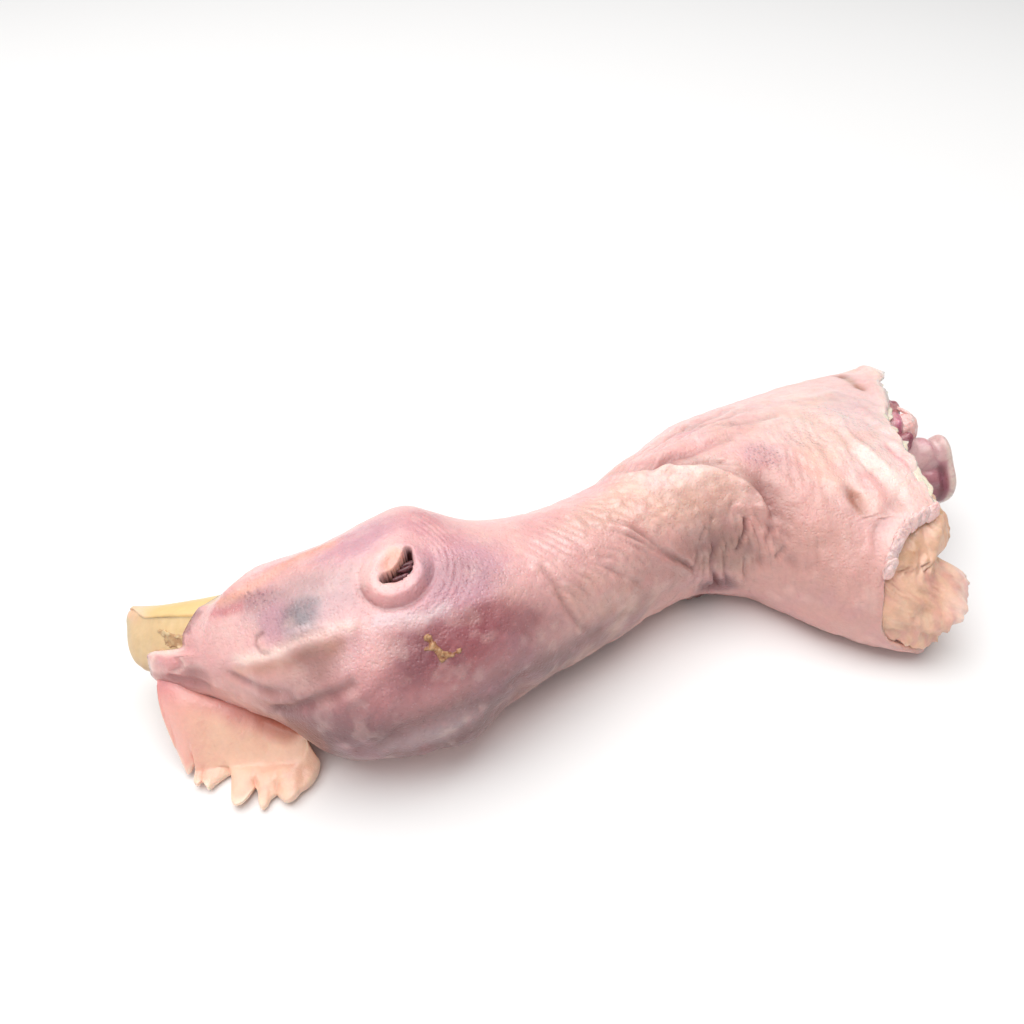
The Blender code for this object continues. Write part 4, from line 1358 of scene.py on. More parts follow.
    def inner(self, s: Array, angle: Array, end: Array) -> Array:
        """Points of the sleeve's inner wall: on the meat, then standing off it towards the cut.

        Args:
            s: distances behind the beak's tip.
            angle: angles around the centreline.
            end: where the skin is cut, at each angle.

        Returns:
            The points, in millimetres.
        """
        deep = self.hollow_at(angle)
        loose = smooth((s - end + deep) / deep)[..., None]
        outer = FORM.skin(s, angle)
        inward = CORE.surface(s, angle) - outer
        length = np.linalg.norm(inward, axis=-1, keepdims=True)
        stand_off = outer + inward * np.minimum(self.wall / length, 0.8)
        return CORE.surface(s, angle, self.gap) * (1 - loose) + stand_off * loose

    def cut_at(self, angle: Array) -> Array:
        """Where the skin is cut, ragged along its upper side."""
        ring = np.stack([np.cos(np.radians(angle)), np.sin(np.radians(angle)), 0 * angle], axis=-1) * 30
        ragged = 0.6 * layered(ring, 5, 91) + 0.6 * Grain(1.5, 95).at(ring)
        upper = smooth(angle, 30, 20) * smooth(angle, 150, -20)
        return CUT_EDGE.at(angle) + ragged * (0.3 + 0.7 * upper)

    def build(self) -> Piece:
        """Builds the skin as one closed sleeve.

        Returns:
            The object, with its painted colour and its fields of detail.
        """
        angles, stations = self.angles(), self.stations()
        front, cut = BEAK_EDGE.at(angles), self.cut_at(angles)
        bottom = BEAK.base + self.gap
        socket = [BEAK.section(bottom + (front - bottom) * share, angles, self.gap) for share in (0, 0.35, 0.7, 1)]
        socket.append(BEAK.section(front - 0.35, angles, self.gap + self.lip_at(angles) / 2))
        at_front = 1 - smooth((stations - stations[0]) / 34)
        t = np.clip((stations - 118) / (stations[-1] - 118), 0, 1)
        at_cut = t * t * (2 - t)
        s = (
            stations[:, None]
            + (front + 0.6 - stations[0])[None, :] * at_front[:, None]
            + (cut - stations[-1])[None, :] * at_cut[:, None]
        )
        around = np.broadcast_to(angles, s.shape)
        relief = self.relief(s, around)
        lip = BEAK.section(s, around, self.gap + self.lip_at(around))
        rise = smooth((s - front) / 5)
        outside = mixed(lip, FORM.skin(s, around, relief["height"]), rise)
        colour = self.colour(s, around, outside, relief)
        rim = outside[-1] * 0.5 + self.inner(cut, angles, cut) * 0.5 + np.array([self.rim, 0, 0])
        deep = self.hollow_at(angles)
        inside = [rim] + [self.inner(cut - deep * back, angles, cut) for back in np.linspace(0, 1, 15)]
        for mark in (135, 128, 121, 114, 107, 100, 94, CORE.start - self.gap):
            inside.append(CORE.surface(mark, angles, self.gap))
        lining = np.array(inside)
        rings = np.concatenate([np.array(socket), outside, lining])
        tissue = coated(Tone.MEMBRANE.over(lining), (Tone.ROSE, smooth(layered(lining, 5, 99) / 0.5 + 0.4)))
        fade = smooth((np.arange(len(inside)) - 1) / 4)[:, None] + 0 * angles
        tissue = mixed(Tone.CREAM.over(lining), tissue, fade)
        edge = bell((s - cut) / 1.3) * smooth(around, 150, -40)
        colour = coated(colour, (Tone.CREAM, 0.7 * edge))
        start = np.repeat(colour[:1], len(socket), axis=0)
        shape, before, after = s.shape, (len(socket), len(angles)), (len(inside), len(angles))

        def whole(outer: Array, within: float) -> Array:
            """A field of the outside, with one value for the hidden parts."""
            return np.concatenate([np.full(before, within), outer + np.zeros(shape), np.full(after, within)])

        head = folded(around)
        return Loft("plucked_skin", rings, {
            "tint": np.concatenate([start, colour, tissue]),
            "pits": whole(covered(PORES, s, head), 0),
            "specks": whole(covered(GLINTS, s, head), 0),
            "wet": whole(covered(SHINE, s, head) + 0.3 * relief["bump"], 0.7),
        }).build()


SKIN = Skin()


@dataclass(frozen=True)
class Comb:
    """The serrated comb, drooping from the crown and lying on the table."""

    # x and y along the free edge, tooth by tooth, from the front to the round lobe at the rear.
    edge: Array = field(default_factory=lambda: np.array([
        [-78.1, -46.6], [-78.1, -48.1], [-78, -50], [-77.6, -51.8], [-77.3, -52.8], [-76.8, -54.3], [-76.5, -54.8],
        [-76.1, -55.9], [-75.5, -57.6], [-75.1, -58.6], [-74.4, -58.4], [-73.6, -57.7], [-72.9, -57.5], [-73.4, -59.1],
        [-73.7, -60.8], [-73.2, -61.8], [-72.6, -61.5], [-72.2, -61.2], [-71.6, -62.2], [-71.1, -62.8], [-70.5, -62.2],
        [-69.5, -61.4], [-68.1, -60.5], [-67.3, -60.4], [-67, -61.7], [-67.1, -64.4], [-67, -66.3], [-66.3, -67.4],
        [-65.1, -67.2], [-64.1, -66.3], [-63.2, -65.1], [-62.8, -64.5], [-62.4, -65.7], [-62.3, -67.6], [-61.8, -68.8],
        [-61, -68.4], [-60.3, -67.2], [-59.6, -66.7], [-59.1, -66.6], [-58.4, -67.7], [-57.5, -68.6], [-56.7, -68.7],
        [-55.8, -68.3], [-54.8, -67.2], [-53.5, -66.5], [-52.2, -65.1], [-51.2, -63], [-51, -61.6], [-51.7, -60.5],
        [-53.1, -59.2],
    ]))
    # Place along that edge, s where the line to it leaves the crown, and the angle there.
    roots: Array = field(default_factory=lambda: np.array([
        [0, 9.6, 177], [6, 11.2, 177], [12, 14.5, 178], [23, 21, 186], [31, 27, 196], [38, 31, 202],
        [43, 33.6, 204], [46, 35.4, 205], [49, 36.8, 205],
    ]))
    # Place along the edge and depth of the clefts between the teeth.
    clefts: tuple[Place, ...] = ((6.2, 0.7), (12, 1), (17, 0.6), (23, 1), (31, 1), (38, 0.7), (43.6, 0.4))
    places_a_tooth: float = 4.45
    root_thick: float = 4.0
    edge_thick: float = 2.0
    droop: float = 9.0
    lies_at: float = 1.1
    root_gap: float = 0.2
    inset: float = 3.4
    calm: float = 0.66
    around: int = 72
    finer: int = 6

    def build(self) -> Piece:
        """Builds the comb as one closed sheet, thick at the root and fluted towards its teeth.

        Returns:
            The object, with its colour.
        """
        last_place = len(self.edge) - 1
        fine = np.linspace(0, last_place, self.finer * last_place + 1)
        outer = through(np.column_stack([np.arange(last_place + 1), self.edge]), fine)
        start = through(self.roots, fine)
        s, root = start[:, 0], FORM.skin(start[:, 0], start[:, 1])
        groove = sum(depth * bell((fine - place) / 0.75) for place, depth in self.clefts)
        near = 5 * self.finer
        kernel = bell(np.linspace(-1.7, 1.7, 2 * near + 1))
        padded = np.pad(outer, ((near, near), (0, 0)), mode="reflect", reflect_type="odd")
        relaxed = np.stack([np.convolve(padded[:, i], kernel / kernel.sum(), "valid") for i in (0, 1)], axis=1)
        fine = fine / self.places_a_tooth
        front = smooth(fine, 5, -3)[:, None]
        out = relaxed - root[:, :2]
        length = np.linalg.norm(out, axis=1, keepdims=True)
        out = out / length
        length = np.maximum(length - self.inset, 0.6 * length)
        turn = np.radians(ring_angles(self.around))[None, :]
        along = 0.5 - 0.5 * np.cos(turn)
        inner_part = np.minimum(along / self.calm, 1)
        gap = self.root_gap - 1.2 * front
        reach = gap + (length - gap) * inner_part
        last = np.clip((along - self.calm) / (1 - self.calm), 0, 1)
        inner_end = root[:, :2] + out * length
        run = reach + np.linalg.norm(outer - inner_end, axis=1, keepdims=True) * last
        droop = self.droop + 3.5 * front
        fall = root[:, 2:3] - self.lies_at
        part = np.clip(run / droop, 0, 1)
        high = fall * (1 - smooth(part))
        slope = fall * 6 * part * (1 - part) / droop
        flute = groove[:, None] * smooth(along, 0.5, 0.45)
        thick = self.edge_thick + (self.root_thick - self.edge_thick) * (1 - smooth(reach / 16))
        tapered = 0.4 + 0.6 * smooth(fine / 2.6)[:, None]
        swollen = 1.6 * smooth(fine, 7.6, 1.6)[:, None]
        thick = thick + swollen + front * np.exp(-np.maximum(reach, 0) / 1.8)
        thick = thick * (1 - 0.18 * last) * (1 - 0.35 * flute) * tapered
        side = np.sign(np.sin(turn)) * np.abs(np.sin(turn)) ** np.where(np.cos(turn) > 0, 0.35, 0.6)
        offset = thick / 2 * side
        steep = np.hypot(1, slope)
        level = reach + offset * slope / steep
        rings = np.empty((len(s), turn.shape[1], 3))
        rings[..., :2] = (
            root[:, None, :2] + out[:, None, :] * level[..., None]
            + (outer - inner_end)[:, None, :] * last[..., None]
        )
        rings[..., 2] = self.lies_at + high + offset / steep
        lump = layered(rings, 5, 101) * 0.3 + Grain(1.8, 105).at(rings) * 0.08
        crest = 0.9 * bell((along - 0.62) / 0.2) * smooth(fine, 4, 3)[:, None]
        curl = 0.5 * (1 + np.sin(fine * 2.1 + 0.6))[:, None] * last**2
        rings[..., 2] += np.where(side > 0, lump, 0) * (1 - along) ** 0.3 + crest + curl
        rings = FORM.settled(rings)
        fields = self.fields(rings, along + 0 * fine[:, None], flute, last, fine, reach)
        return Loft("comb_sheet", rings, fields).build()

    def fields(
        self, rings: Array, along: Array, flute: Array, last: Array, mark: Array, reach: Array
    ) -> dict[str, Array]:
        """Colour and detail: pink at the front, peach behind, painted shade along the root and in the clefts, and pale
        at the tips.

        Args:
            rings: points of the comb, a ring for each place along its edge.
            along: share of the way from the root to the edge.
            flute: how deep a point lies in a cleft.
            last: the same as along, over the teeth alone.
            mark: place of each ring along the edge, in teeth.
            reach: distance from the root.

        Returns:
            The fields that the finish reads.
        """
        front = smooth(mark, 5.5, -4.5)[:, None] + 0 * along
        blotch = smooth(layered(rings, 6, 111) / 0.5 + 0.2)
        skin = smooth(reach, 4.5, -4.5) * front
        deep = 0.13 + 0.16 * smooth(mark, 5.5, 4)[:, None]
        hollow = smooth((deep - along) / 0.14) * (1 - front) * smooth(mark, 5, 4)[:, None]
        tip = smooth(last, 0.55, 0.45) * (1 - flute) * (1 - 0.4 * smooth(mark, 7, 0.8)[:, None])
        colour = coated(
            Tone.COMB.over(rings),
            (Tone.COMB_PINK, 0.85 * front), (Tone.COMB_DEEP, 0.3 * blotch * smooth(along, 0.3, 0.3)),
            # Painted shade deeper in the clefts between the teeth.
            (Tone.COMB_DEEP, 0.35 * flute), (Tone.ROSE, 0.9 * skin),
            # Darker rose along the root, partly the skin's colour and partly painted shade under the head, and the
            # hollow under the head painted in dark rust as shade.
            (Tone.ROSE, 0.7 * smooth(along, 0.25, -0.2) * (1 - front)), (Tone.HOLLOW_SHADE, 0.75 * hollow),
            (Tone.COMB_TIP, 0.75 * tip),
        )
        none = np.zeros_like(along)
        return {"tint": colour, "pits": none, "specks": none + 0.12, "wet": none + 0.25}


@dataclass(frozen=True)
class Bone:
    """The stump of the neck bone that stands out of the meat."""

    sizes: Array = field(default_factory=lambda: np.array([
        [162, 7.2, 7.6], [170, 7.2, 7.8], [175, 6.6, 7.6], [179.5, 5.9, 6.9], [183, 6.8, 7.9],
        [185, 7, 8.2], [187, 6.6, 7.9],
    ]))
    centre: Place = (1.4, -0.9)
    start: float = 163.0
    end: float = 185.8
    knob: Triple = (180.5, 98.0, 2.0)
    # Height, distance and half-length, angle and half-width. Those below 0 are grooves.
    knuckles: tuple[tuple[float, ...], ...] = (
        (1.3, 184.2, 1.5, 88, 30), (-1, 182, 1.2, 96, 34), (-1, 182.6, 1, 150, 26),
    )
    # Depth, angle and half-width of the furrows that run along it.
    furrows: tuple[Triple, ...] = ((0.8, 128, 9), (0.9, 172, 12))
    around: int = 120

    def section(self, s: Array, angle: Array, out: float = 0.0, shaped: bool = False) -> Array:
        """Points of its surface.

        Args:
            s: distances behind the beak's tip.
            angle: angles around the centreline.
            out: how far the points are moved out.
            shaped: whether they show its grooves and small knobs.

        Returns:
            The points, in millimetres.
        """
        here = through(self.sizes, s) + out
        turn = np.radians(angle)
        at, bearing, height = self.knob
        rise = height * bell((s - at) / 2.4, (angle - bearing) / 26)
        if shaped:
            rise += 2.7 * smooth(s, 172, 4) * bell((s - 177) / 6, (angle - 66) / 24)
            shown = smooth(s, 174, 5)
            for high, at, long, bearing, wide in self.knuckles:
                rise += shown * high * bell((s - at) / long, (angle - bearing) / wide)
            for deep, bearing, wide in self.furrows:
                rise -= shown * deep * bell((angle - bearing) / wide) * smooth(s, 183, -2)
        lobes = 1 + 0.07 * np.cos(4 * turn + 0.6)
        wide = self.centre[0] + (here[..., 0] + rise) * np.cos(turn) * lobes
        high = self.centre[1] + (here[..., 1] + rise) * np.sin(turn) * lobes
        return FORM.in_section(s, wide, high)

    def build(self) -> Piece:
        """Builds the stump, waisted behind its knobs and dished at its end face.

        Returns:
            The object, with its colour.
        """
        angles = ring_angles(self.around)
        marks = np.linspace(self.start, self.end - 1, 72)
        rows = [self.section(s, angles, 0, True) for s in marks]
        for s, inwards in ((185.3, 0.985), (185.6, 0.95), (185.75, 0.9), (185.8, 0.83)):
            ring = self.section(s, angles, 0, True)
            rows.append(ring.mean(axis=0) + (ring - ring.mean(axis=0)) * inwards)
        lip = rows[-1]
        for share, dish in ((0.72, 0.25), (0.58, 0.7), (0.42, 1.1), (0.26, 1.3), (0.1, 1.35)):
            row = lip.mean(axis=0) + (lip - lip.mean(axis=0)) * share / 0.83
            rows.append(row - np.array([dish, 0, 0]))
        rings = np.array(rows)
        where = np.concatenate([marks, np.full(len(rows) - len(marks), self.end)])[:, None] + 0 * angles
        angle = angles + 0 * where
        rings = rings + 0.16 * layered(rings, 3, 121)[..., None] * np.array([0, 0.6, 1])
        blood = smooth(layered(rings, 4, 125) / 0.5 + 0.2)
        low = smooth(angle, 115, 30) * smooth(where, 184.6, -1.5)
        groove = bell(where - 182.6) * smooth(angle, 110, 20)
        rim = smooth(where, 183.4, 0.8) * smooth(angle, 80, 25)
        top = bell((angle - 80) / 30) * smooth(where, 178, 3)
        face = smooth((np.arange(len(rows)) - 76) / 3)[:, None] + 0 * where
        colour = coated(
            Tone.BONE.over(rings),
            (Tone.MEAT, 0.6 * blood), (Tone.BONE_GROOVE, 0.75 * low), (Tone.PLUM, 0.9 * groove),
            (Tone.GRISTLE, 0.9 * rim), (Tone.GRISTLE, 0.35 * top), (Tone.MEAT, 0.4 * face),
        )
        return Loft("neck_bone", rings, {"tint": colour}).build()


BONE = Bone()


@dataclass(frozen=True)
class Meat:
    """The dark meat that runs through the neck and ends in lobes at the cut."""

    edge: SkinEdge = SkinEdge(np.array([
        [0, 166], [30, 169], [50, 173], [66, 176], [85, 174], [130, 171], [200, 168], [280, 166], [360, 166],
    ], float))
    lumps: tuple[Swelling, ...] = (Swelling(174, 66, 6, 2.2), Swelling(170, 250, 6, 0.8))
    # Angle, half-width and depth of the clefts between its lobes.
    clefts: tuple[Triple, ...] = ((82, 4, 1.5), (50, 4, 1.2), (66, 3, 1))
    around: int = 168
    gap: float = 0.3

    def build(self) -> Piece:
        """Builds the meat, with the seat of the bone in its end.

        Returns:
            The object, with its colour.
        """
        angles = ring_angles(self.around)
        end = self.edge.at(angles)
        marks = [np.full_like(angles, s) for s in np.linspace(CORE.start, 150, 14)]
        rows = [CORE.surface(s, angles, -0.05) for s in marks]
        for f in np.linspace(0.08, 1, 34):
            inwards = 0.6 * max(0, (f - 0.62) / 0.38) ** 1.8
            s = 150 + (end - 150) * f
            swell = sum(lump.rise(s, angles) for lump in self.lumps)
            outer = CORE.surface(s, angles)
            lobes = layered(outer, 5, 131) * 0.9 + Grain(2.2, 135).at(outer) * 0.3
            cleft = sum(depth * bell((angles - at) / wide) for at, wide, depth in self.clefts)
            outer = CORE.surface(s, angles, swell + (lobes - cleft) * smooth(f, 0.45, 0.3))
            seat = BONE.section(s, angles, self.gap)
            rows.append(outer * (1 - inwards) + seat * inwards)
            marks.append(s)
        for out, back in ((0.5, 0.2), (0.4, 0.7), (0.35, 1.6)):
            rows.append(BONE.section(end - back, angles, out))
            marks.append(end - back)
        for s in (168, BONE.start - self.gap):
            rows.append(BONE.section(s, angles, self.gap))
            marks.append(np.full_like(angles, s))
        rings, where = np.array(rows), np.array(marks)
        angle = angles + 0 * where
        dark = smooth(layered(rings, 4, 141) / 0.5 + 0.35)
        colour = coated(Tone.MEAT.over(rings), (Tone.MEAT_DARK, 0.6 * dark))
        # Painted shade on the near side of the meat.
        near = smooth(angle, 86, 16) * smooth(angle, 180, -30)
        colour = mixed(colour, Tone.SHADE.linear * 0.7, 0.6 * near)
        return Loft("neck_meat_lobes", rings, {"tint": colour}).build()


@dataclass(frozen=True)
class Fat:
    """The lumpy fat that shows where the near side of the skin is cut."""

    # Where it ends, as distances by angle.
    edge: Array = field(default_factory=lambda: np.array([
        [100, 168.5], [112, 169], [119, 169.5], [126, 170], [131, 171], [136, 171], [140, 170], [145, 166.5],
        [150, 166.5], [155, 169.5], [161, 172], [167, 171.5], [174, 170], [182, 168.5], [192, 167.5], [205, 167],
        [222, 167], [240, 168],
    ], float))
    inside: float = 11.0
    margin: float = 0.35
    around: int = 180
    # Angle, distance past the cut, radius and height of its lumps.
    lumps: tuple[tuple[float, ...], ...] = (
        (121, 6, 1.6, 1), (126, 9, 1.5, 1.1), (131, 12.5, 2.2, 1.6), (138, 9, 1.8, -1), (134, 5, 1.7, -1.3),
        (144, 11, 2.2, 0.9), (150, 7, 2.4, 0.9), (155, 12, 2, -1.2), (162, 16, 3, 1.6), (160, 8, 1.7, -0.6),
        (168, 12, 2.4, 0.9), (166, 5, 2, 0.7), (176, 9, 2.4, -0.7), (184, 8, 3, 0.9), (142, 4, 2, 0.8),
    )

    def build(self) -> Piece:
        """Builds the fat as one lumpy crescent between meat and skin.

        Returns:
            The object, with its colour.
        """
        turn = np.radians(ring_angles(self.around))
        angle = 166 - 58 * np.cos(turn)
        part = 0.5 + 0.5 * np.sign(np.sin(turn)) * np.abs(np.sin(turn)) ** 0.7
        cut = SKIN.cut_at(angle)
        past = np.maximum(through(self.edge, angle)[..., 0] - cut, 1)
        rows, marks = [], []
        for f in np.concatenate([np.linspace(0, 0.5, 18), 0.5 + 0.5 * np.sin(np.linspace(0.03, 1, 56) * math.pi / 2)]):
            s = cut - self.inside + (self.inside + past * (0.3 + 0.7 * part)) * f
            core = CORE.surface(s, angle)
            held = SKIN.inner(np.minimum(s, cut), angle, cut)
            free = FORM.skin(s, angle)
            out = smooth((s - cut - 1.6) / 5)[..., None]
            outer = held * (1 - out) + free * out
            width = 1 if f < 0.5 else math.sqrt(max(1 - ((f - 0.5) / 0.515) ** 2, 0))
            width *= 0.75 if f == 0 else 1
            across = outer - core
            margin = np.minimum(self.margin / np.linalg.norm(across, axis=-1), 0.4)
            share = margin + (1 - 2 * margin) * (0.5 + (part - 0.5) * width)
            rows.append(core + across * share[..., None])
            marks.append(s - cut)
        rings, beyond = np.array(rows), np.array(marks)
        centre = rings.mean(axis=1, keepdims=True)
        free = smooth((beyond + 0.5) / 3)
        swell = layered(rings, 6, 151) * 0.9 + layered(rings, 2.6, 155, 3) * 0.55
        lobule = 1 - smooth(Cells(2, 158).at(rings) / 0.75)
        fold = 0.6 - np.abs(np.sin(math.pi * (beyond / 1.9 + 0.9 * layered(rings, 4, 171)))) ** 0.7
        fine = np.abs(layered(rings, 2, 176, 2)) * 1.1 - 0.3
        swell += 0.5 * lobule + 0.5 * fold * smooth(angle, 134, 12) - fine
        around = angle + 0 * beyond
        for at, reach, radius, height in self.lumps:
            off = np.hypot((around - at) * MM_PER_DEGREE * 1.5, beyond - reach)
            swell += height * bell(off / radius)
        outward = unit(rings - centre)
        rings = FORM.settled(rings + outward * (swell * free)[..., None])
        pale = smooth(layered(rings, 5, 161) / 0.45 + 0.4)
        olive = smooth((Grain(3.6, 169).at(rings) - 0.35) / 0.3) * smooth(around, 150, -12)
        folds = smooth(layered(rings, 2.2, 173) / -0.4)
        pink = smooth(layered(rings, 4, 165) / 0.4 + 0.2) * smooth(around, 128, 30)
        low = smooth((6 - rings[..., 2]) / 4)
        flap = smooth(beyond, 12, 4) * smooth(around, 152, 8) * smooth(around, 178, -8)
        streak = smooth(Grain(2.6, 181).at(rings * np.array([2.2, 1, 0.6])) / 0.35 - 0.2)
        colour = coated(
            Tone.FAT.over(rings),
            (Tone.FAT_PALE, 0.6 * pale), (Tone.FAT_OLIVE, 0.7 * olive), (Tone.AMBER, 0.3 * folds),
            (Tone.FAT_PINK, 0.55 * pink), (Tone.SHELL, 0.8 * low), (Tone.CREAM, 0.7 * flap),
            (Tone.ROSE, 0.35 * streak * smooth(around, 138, 12)),
        )
        return Loft("neck_fat", rings, {"tint": colour}).build()


@dataclass(frozen=True)
class Lump:
    """A rounded, uneven lump of tissue: its middle, half-sizes, colour, and the way its third axis faces."""

    place: Triple
    half: Triple
    tone: Tone
    facing: Triple = (0.0, 0.0, 1.0)
    spin: float = 0.0
    rough: float = 0.2

    def basis(self) -> Array:
        """Rotation that turns the lump into place."""
        turned = Vector(self.facing).to_track_quat("Z", "Y") @ Quaternion((0, 0, 1), math.radians(self.spin))
        return np.array(turned.to_matrix())


@dataclass(frozen=True)
class Lumps:
    """Several lumps of tissue in one mesh, some grown into each other."""

    name: str
    items: tuple[Lump, ...]
    finer: int = 4
    seed: int = 301
    second: Tone = Tone.CREAM

    def build(self) -> Piece:
        """Builds the lumps from balls that are stretched and made uneven.

        Returns:
            The object, with its colour.
        """
        bm = bmesh.new()
        for _ in self.items:
            bmesh.ops.create_icosphere(bm, subdivisions=self.finer, radius=1)
        mesh = as_mesh(bm, self.name)
        balls = points_of(mesh).reshape(len(self.items), -1, 3)
        points, colours = [], []
        for i, (item, ball) in enumerate(zip(self.items, balls)):
            uneven = 1 + item.rough * layered(ball + 7.3 * i, 0.9, self.seed + i, 3)
            shaped = (ball * uneven[:, None] * np.array(item.half)) @ item.basis().T + np.array(item.place)
            points.append(FORM.settled(shaped))
            vary = smooth(layered(shaped, 2.5, self.seed + 40 + i) / 0.5 + 0.4)
            colours.append(coated(item.tone.over(shaped), (self.second, 0.4 * vary)))
        put_points(mesh, np.concatenate(points))
        add_wet_fields(mesh, np.concatenate(colours), 0.5)
        return finished(mesh)


@dataclass(frozen=True)
class Frill:
    """A thin torn membrane that stands out of the rim of the cut skin."""

    name: str
    first: float
    last: float
    reach: float
    thick: float = 0.3
    seed: int = 401
    depth: float = 0.25
    rows: int = 240
    columns: int = 9

    def build(self) -> Piece:
        """Builds the membrane as a waved strip with a ragged edge, given some thickness.

        Returns:
            The object, with its colour.
        """
        bm = bmesh.new()
        bmesh.ops.create_grid(bm, x_segments=self.rows, y_segments=self.columns, size=1)
        place = np.array([vert.co for vert in bm.verts])
        u, v = (place[:, 0] + 1) / 2, (place[:, 1] + 1) / 2
        angle = self.first + (self.last - self.first) * u
        line = np.stack([angle * 0.6, 0 * angle, 0 * angle], axis=-1)
        ends = smooth(u / 0.08) * smooth(u, 1, -0.08)
        length = self.reach * (0.55 + 0.5 * layered(line, 5, self.seed) + 0.35 * Grain(1.3, self.seed + 5).at(line))
        length = np.maximum(length, 0.15) * ends
        cut = SKIN.cut_at(angle)
        outer = FORM.skin(cut, angle)
        inward = unit(CORE.surface(cut, angle) - outer)
        wave = 0.45 * Grain(2.2, self.seed + 9).at(line) * v
        points = FORM.skin(cut - 1.2 + (1.2 + length) * v, angle) + inward * (self.depth + 0.5 * v**2 + wave)[:, None]
        mesh = sheet(bm, points, self.thick, self.name)
        anywhere = np.random.default_rng(self.seed).uniform(0, 30, (len(mesh.vertices), 3))
        shade = layered(anywhere, 4, self.seed)[:, None]
        add_wet_fields(mesh, np.clip(Tone.COMB_TIP.linear * (1.04 + 0.06 * shade), 0, 1), 0.7)
        return finished(mesh)


def on_skin(s: float, angle: float, out: float) -> tuple[Triple, Triple]:
    """A point that stands off the skin, and the direction straight out of the skin there."""
    at, around = np.array([s]), np.array([angle])
    relief = SKIN.relief(at, around)["height"]
    low, high = FORM.skin(at, around, relief)[0], FORM.skin(at, around, relief + 1)[0]
    facing = unit(high - low)
    return tuple(low + facing * out), tuple(facing)


@dataclass(frozen=True)
class Crust:
    """A dry, flaky patch that lies on a surface and sinks into it at its edges."""

    name: str
    surface: Callable[[Array, Array, Array], Array]
    where: tuple[Layer, ...]
    low: Place
    high: Place
    thick: float
    flake: float
    seed: int
    tones: tuple[Tone, Tone]
    across: int = 96
    back: float = 0.15

    def build(self) -> Piece:
        """Builds the patch from a grid that is laid on the surface, raised in flakes and given a back.

        Returns:
            The object, with its colour.
        """
        bm = bmesh.new()
        bmesh.ops.create_grid(bm, x_segments=self.across, y_segments=self.across, size=1)
        share = (np.array([vert.co for vert in bm.verts])[:, :2] + 1) / 2
        s, angle = (a + (b - a) * share[:, i] for i, (a, b) in enumerate(zip(self.low, self.high)))
        flat = self.surface(s, angle, 0 * s)
        flake = smooth(0.5 + layered(flat, 1.3 * self.flake, self.seed, 3) / 0.7)
        rough = layered(flat, 0.7 * self.flake, self.seed + 3)
        cover = smooth(covered(self.where, s, angle) * 1.7 - 0.35 + 0.7 * rough)
        raised = self.surface(s, angle, cover * self.thick * (0.25 + 0.75 * flake + 0.3 * rough) - 0.3 * (1 - cover))
        mesh = sheet(bm, raised, self.back, self.name)
        share = np.clip(0.9 * flake + 0.8 * rough, 0, 1) * cover
        colour = coated(self.tones[0].over(flat), (self.tones[1], share))
        add_attribute(mesh, "tint", np.concatenate([colour, colour])[:len(mesh.vertices)])
        return finished(mesh)


def on_beak(s: Array, angle: Array, out: Array) -> Array:
    """Points that stand off the beak."""
    low, high = BEAK.section(s, angle, 0), BEAK.section(s, angle, 1)
    return low + unit(high - low) * out[..., None]


def off_skin(s: Array, angle: Array, out: Array) -> Array:
    """Points that stand off the skin."""
    return FORM.skin(s, angle, SKIN.relief(s, angle)["height"] + out)


BEAK_CRUST = Crust(
    "beak_crust", on_beak,
    (Stain(Tone.CRUST, 13.4, 121.5, 2.4, 2.2, 1, 20, 0.5), Stain(Tone.CRUST, 11, 114, 2, 0.9, 0.8, 40, 0.5)),
    (7.5, 104), (17.5, 137), 0.4, 0.9, 77, (Tone.CRUST, Tone.HORN),
)
SCAB = Crust(
    "scab", off_skin,
    (
        Streak(Tone.CRUST, Route(((57.4, 115.5), (58.3, 120.5), (59, 126), (59.6, 130.5))), 0.5, 1),
        Streak(Tone.CRUST, Route(((59.2, 127), (60.6, 128.6), (62, 128.4))), 0.42, 0.95),
        Streak(Tone.CRUST, Route(((57, 121.5), (58.4, 122.2))), 0.35, 0.8),
    ),
    (55, 111), (64, 134), 0.32, 0.7, 83, (Tone.SCAB, Tone.CRUST),
)


def strand(places: Sequence[Triple], half: Triple, spin: float, tone: Tone) -> tuple[Lump, ...]:
    """Small lumps along a line over the skin, by distance, angle and height above it."""
    lumps = []
    for s, angle, out in places:
        place, facing = on_skin(s, angle, out)
        lumps.append(Lump(place, half, tone, facing, spin, 0.42))
    return tuple(lumps)


MEAT_LOBES: tuple[Lump, ...] = (
    Lump((86.6, -13.8, 25.8), (3.2, 2.8, 3.2), Tone.MEAT_DARK, (0.3, 0, 1), 20, 0.25),
    Lump((84.4, -18.6, 24.4), (3.8, 3.4, 4.4), Tone.MEAT, (0.3, 0, 1), -15, 0.25),
    Lump((87.8, -19.2, 24.6), (3.2, 3.4, 4), Tone.MEMBRANE, (0.4, -0.1, 1), 0, 0.3),
    Lump((85.4, -22.6, 22.6), (3, 2.4, 4.4), Tone.MEAT_DARK, (0.3, -0.3, 1), 0, 0.25),
    Lump((88, -24.6, 15), (3, 2.2, 4.8), Tone.MEAT_DARK, (0.2, -0.3, 1), 0, 0.25),
    Lump((87.6, -25.4, 8), (3.2, 2.2, 3.8), Tone.PLUM, (0, -0.2, 1), 0, 0.25),
    Lump((88.6, -17.2, 28.3), (1.9, 0.45, 0.5), Tone.SHELL, (0.1, 0, 1), 30, 0.5),
    Lump((89.2, -19.6, 27.6), (1.5, 0.4, 0.5), Tone.CREAM, (0.1, 0, 1), -25, 0.5),
)
GRISTLE_ENDS: tuple[Lump, ...] = (
    Lump((96.7, -20.6, 10.8), (0.6, 1.1, 4.8), Tone.GRISTLE, (0, 0, 1), 0, 0.1),
    Lump((94.6, -21.2, 13.6), (0.8, 0.7, 3.2), Tone.BONE_GROOVE, (0.1, 0, 1), 0, 0.12),
)
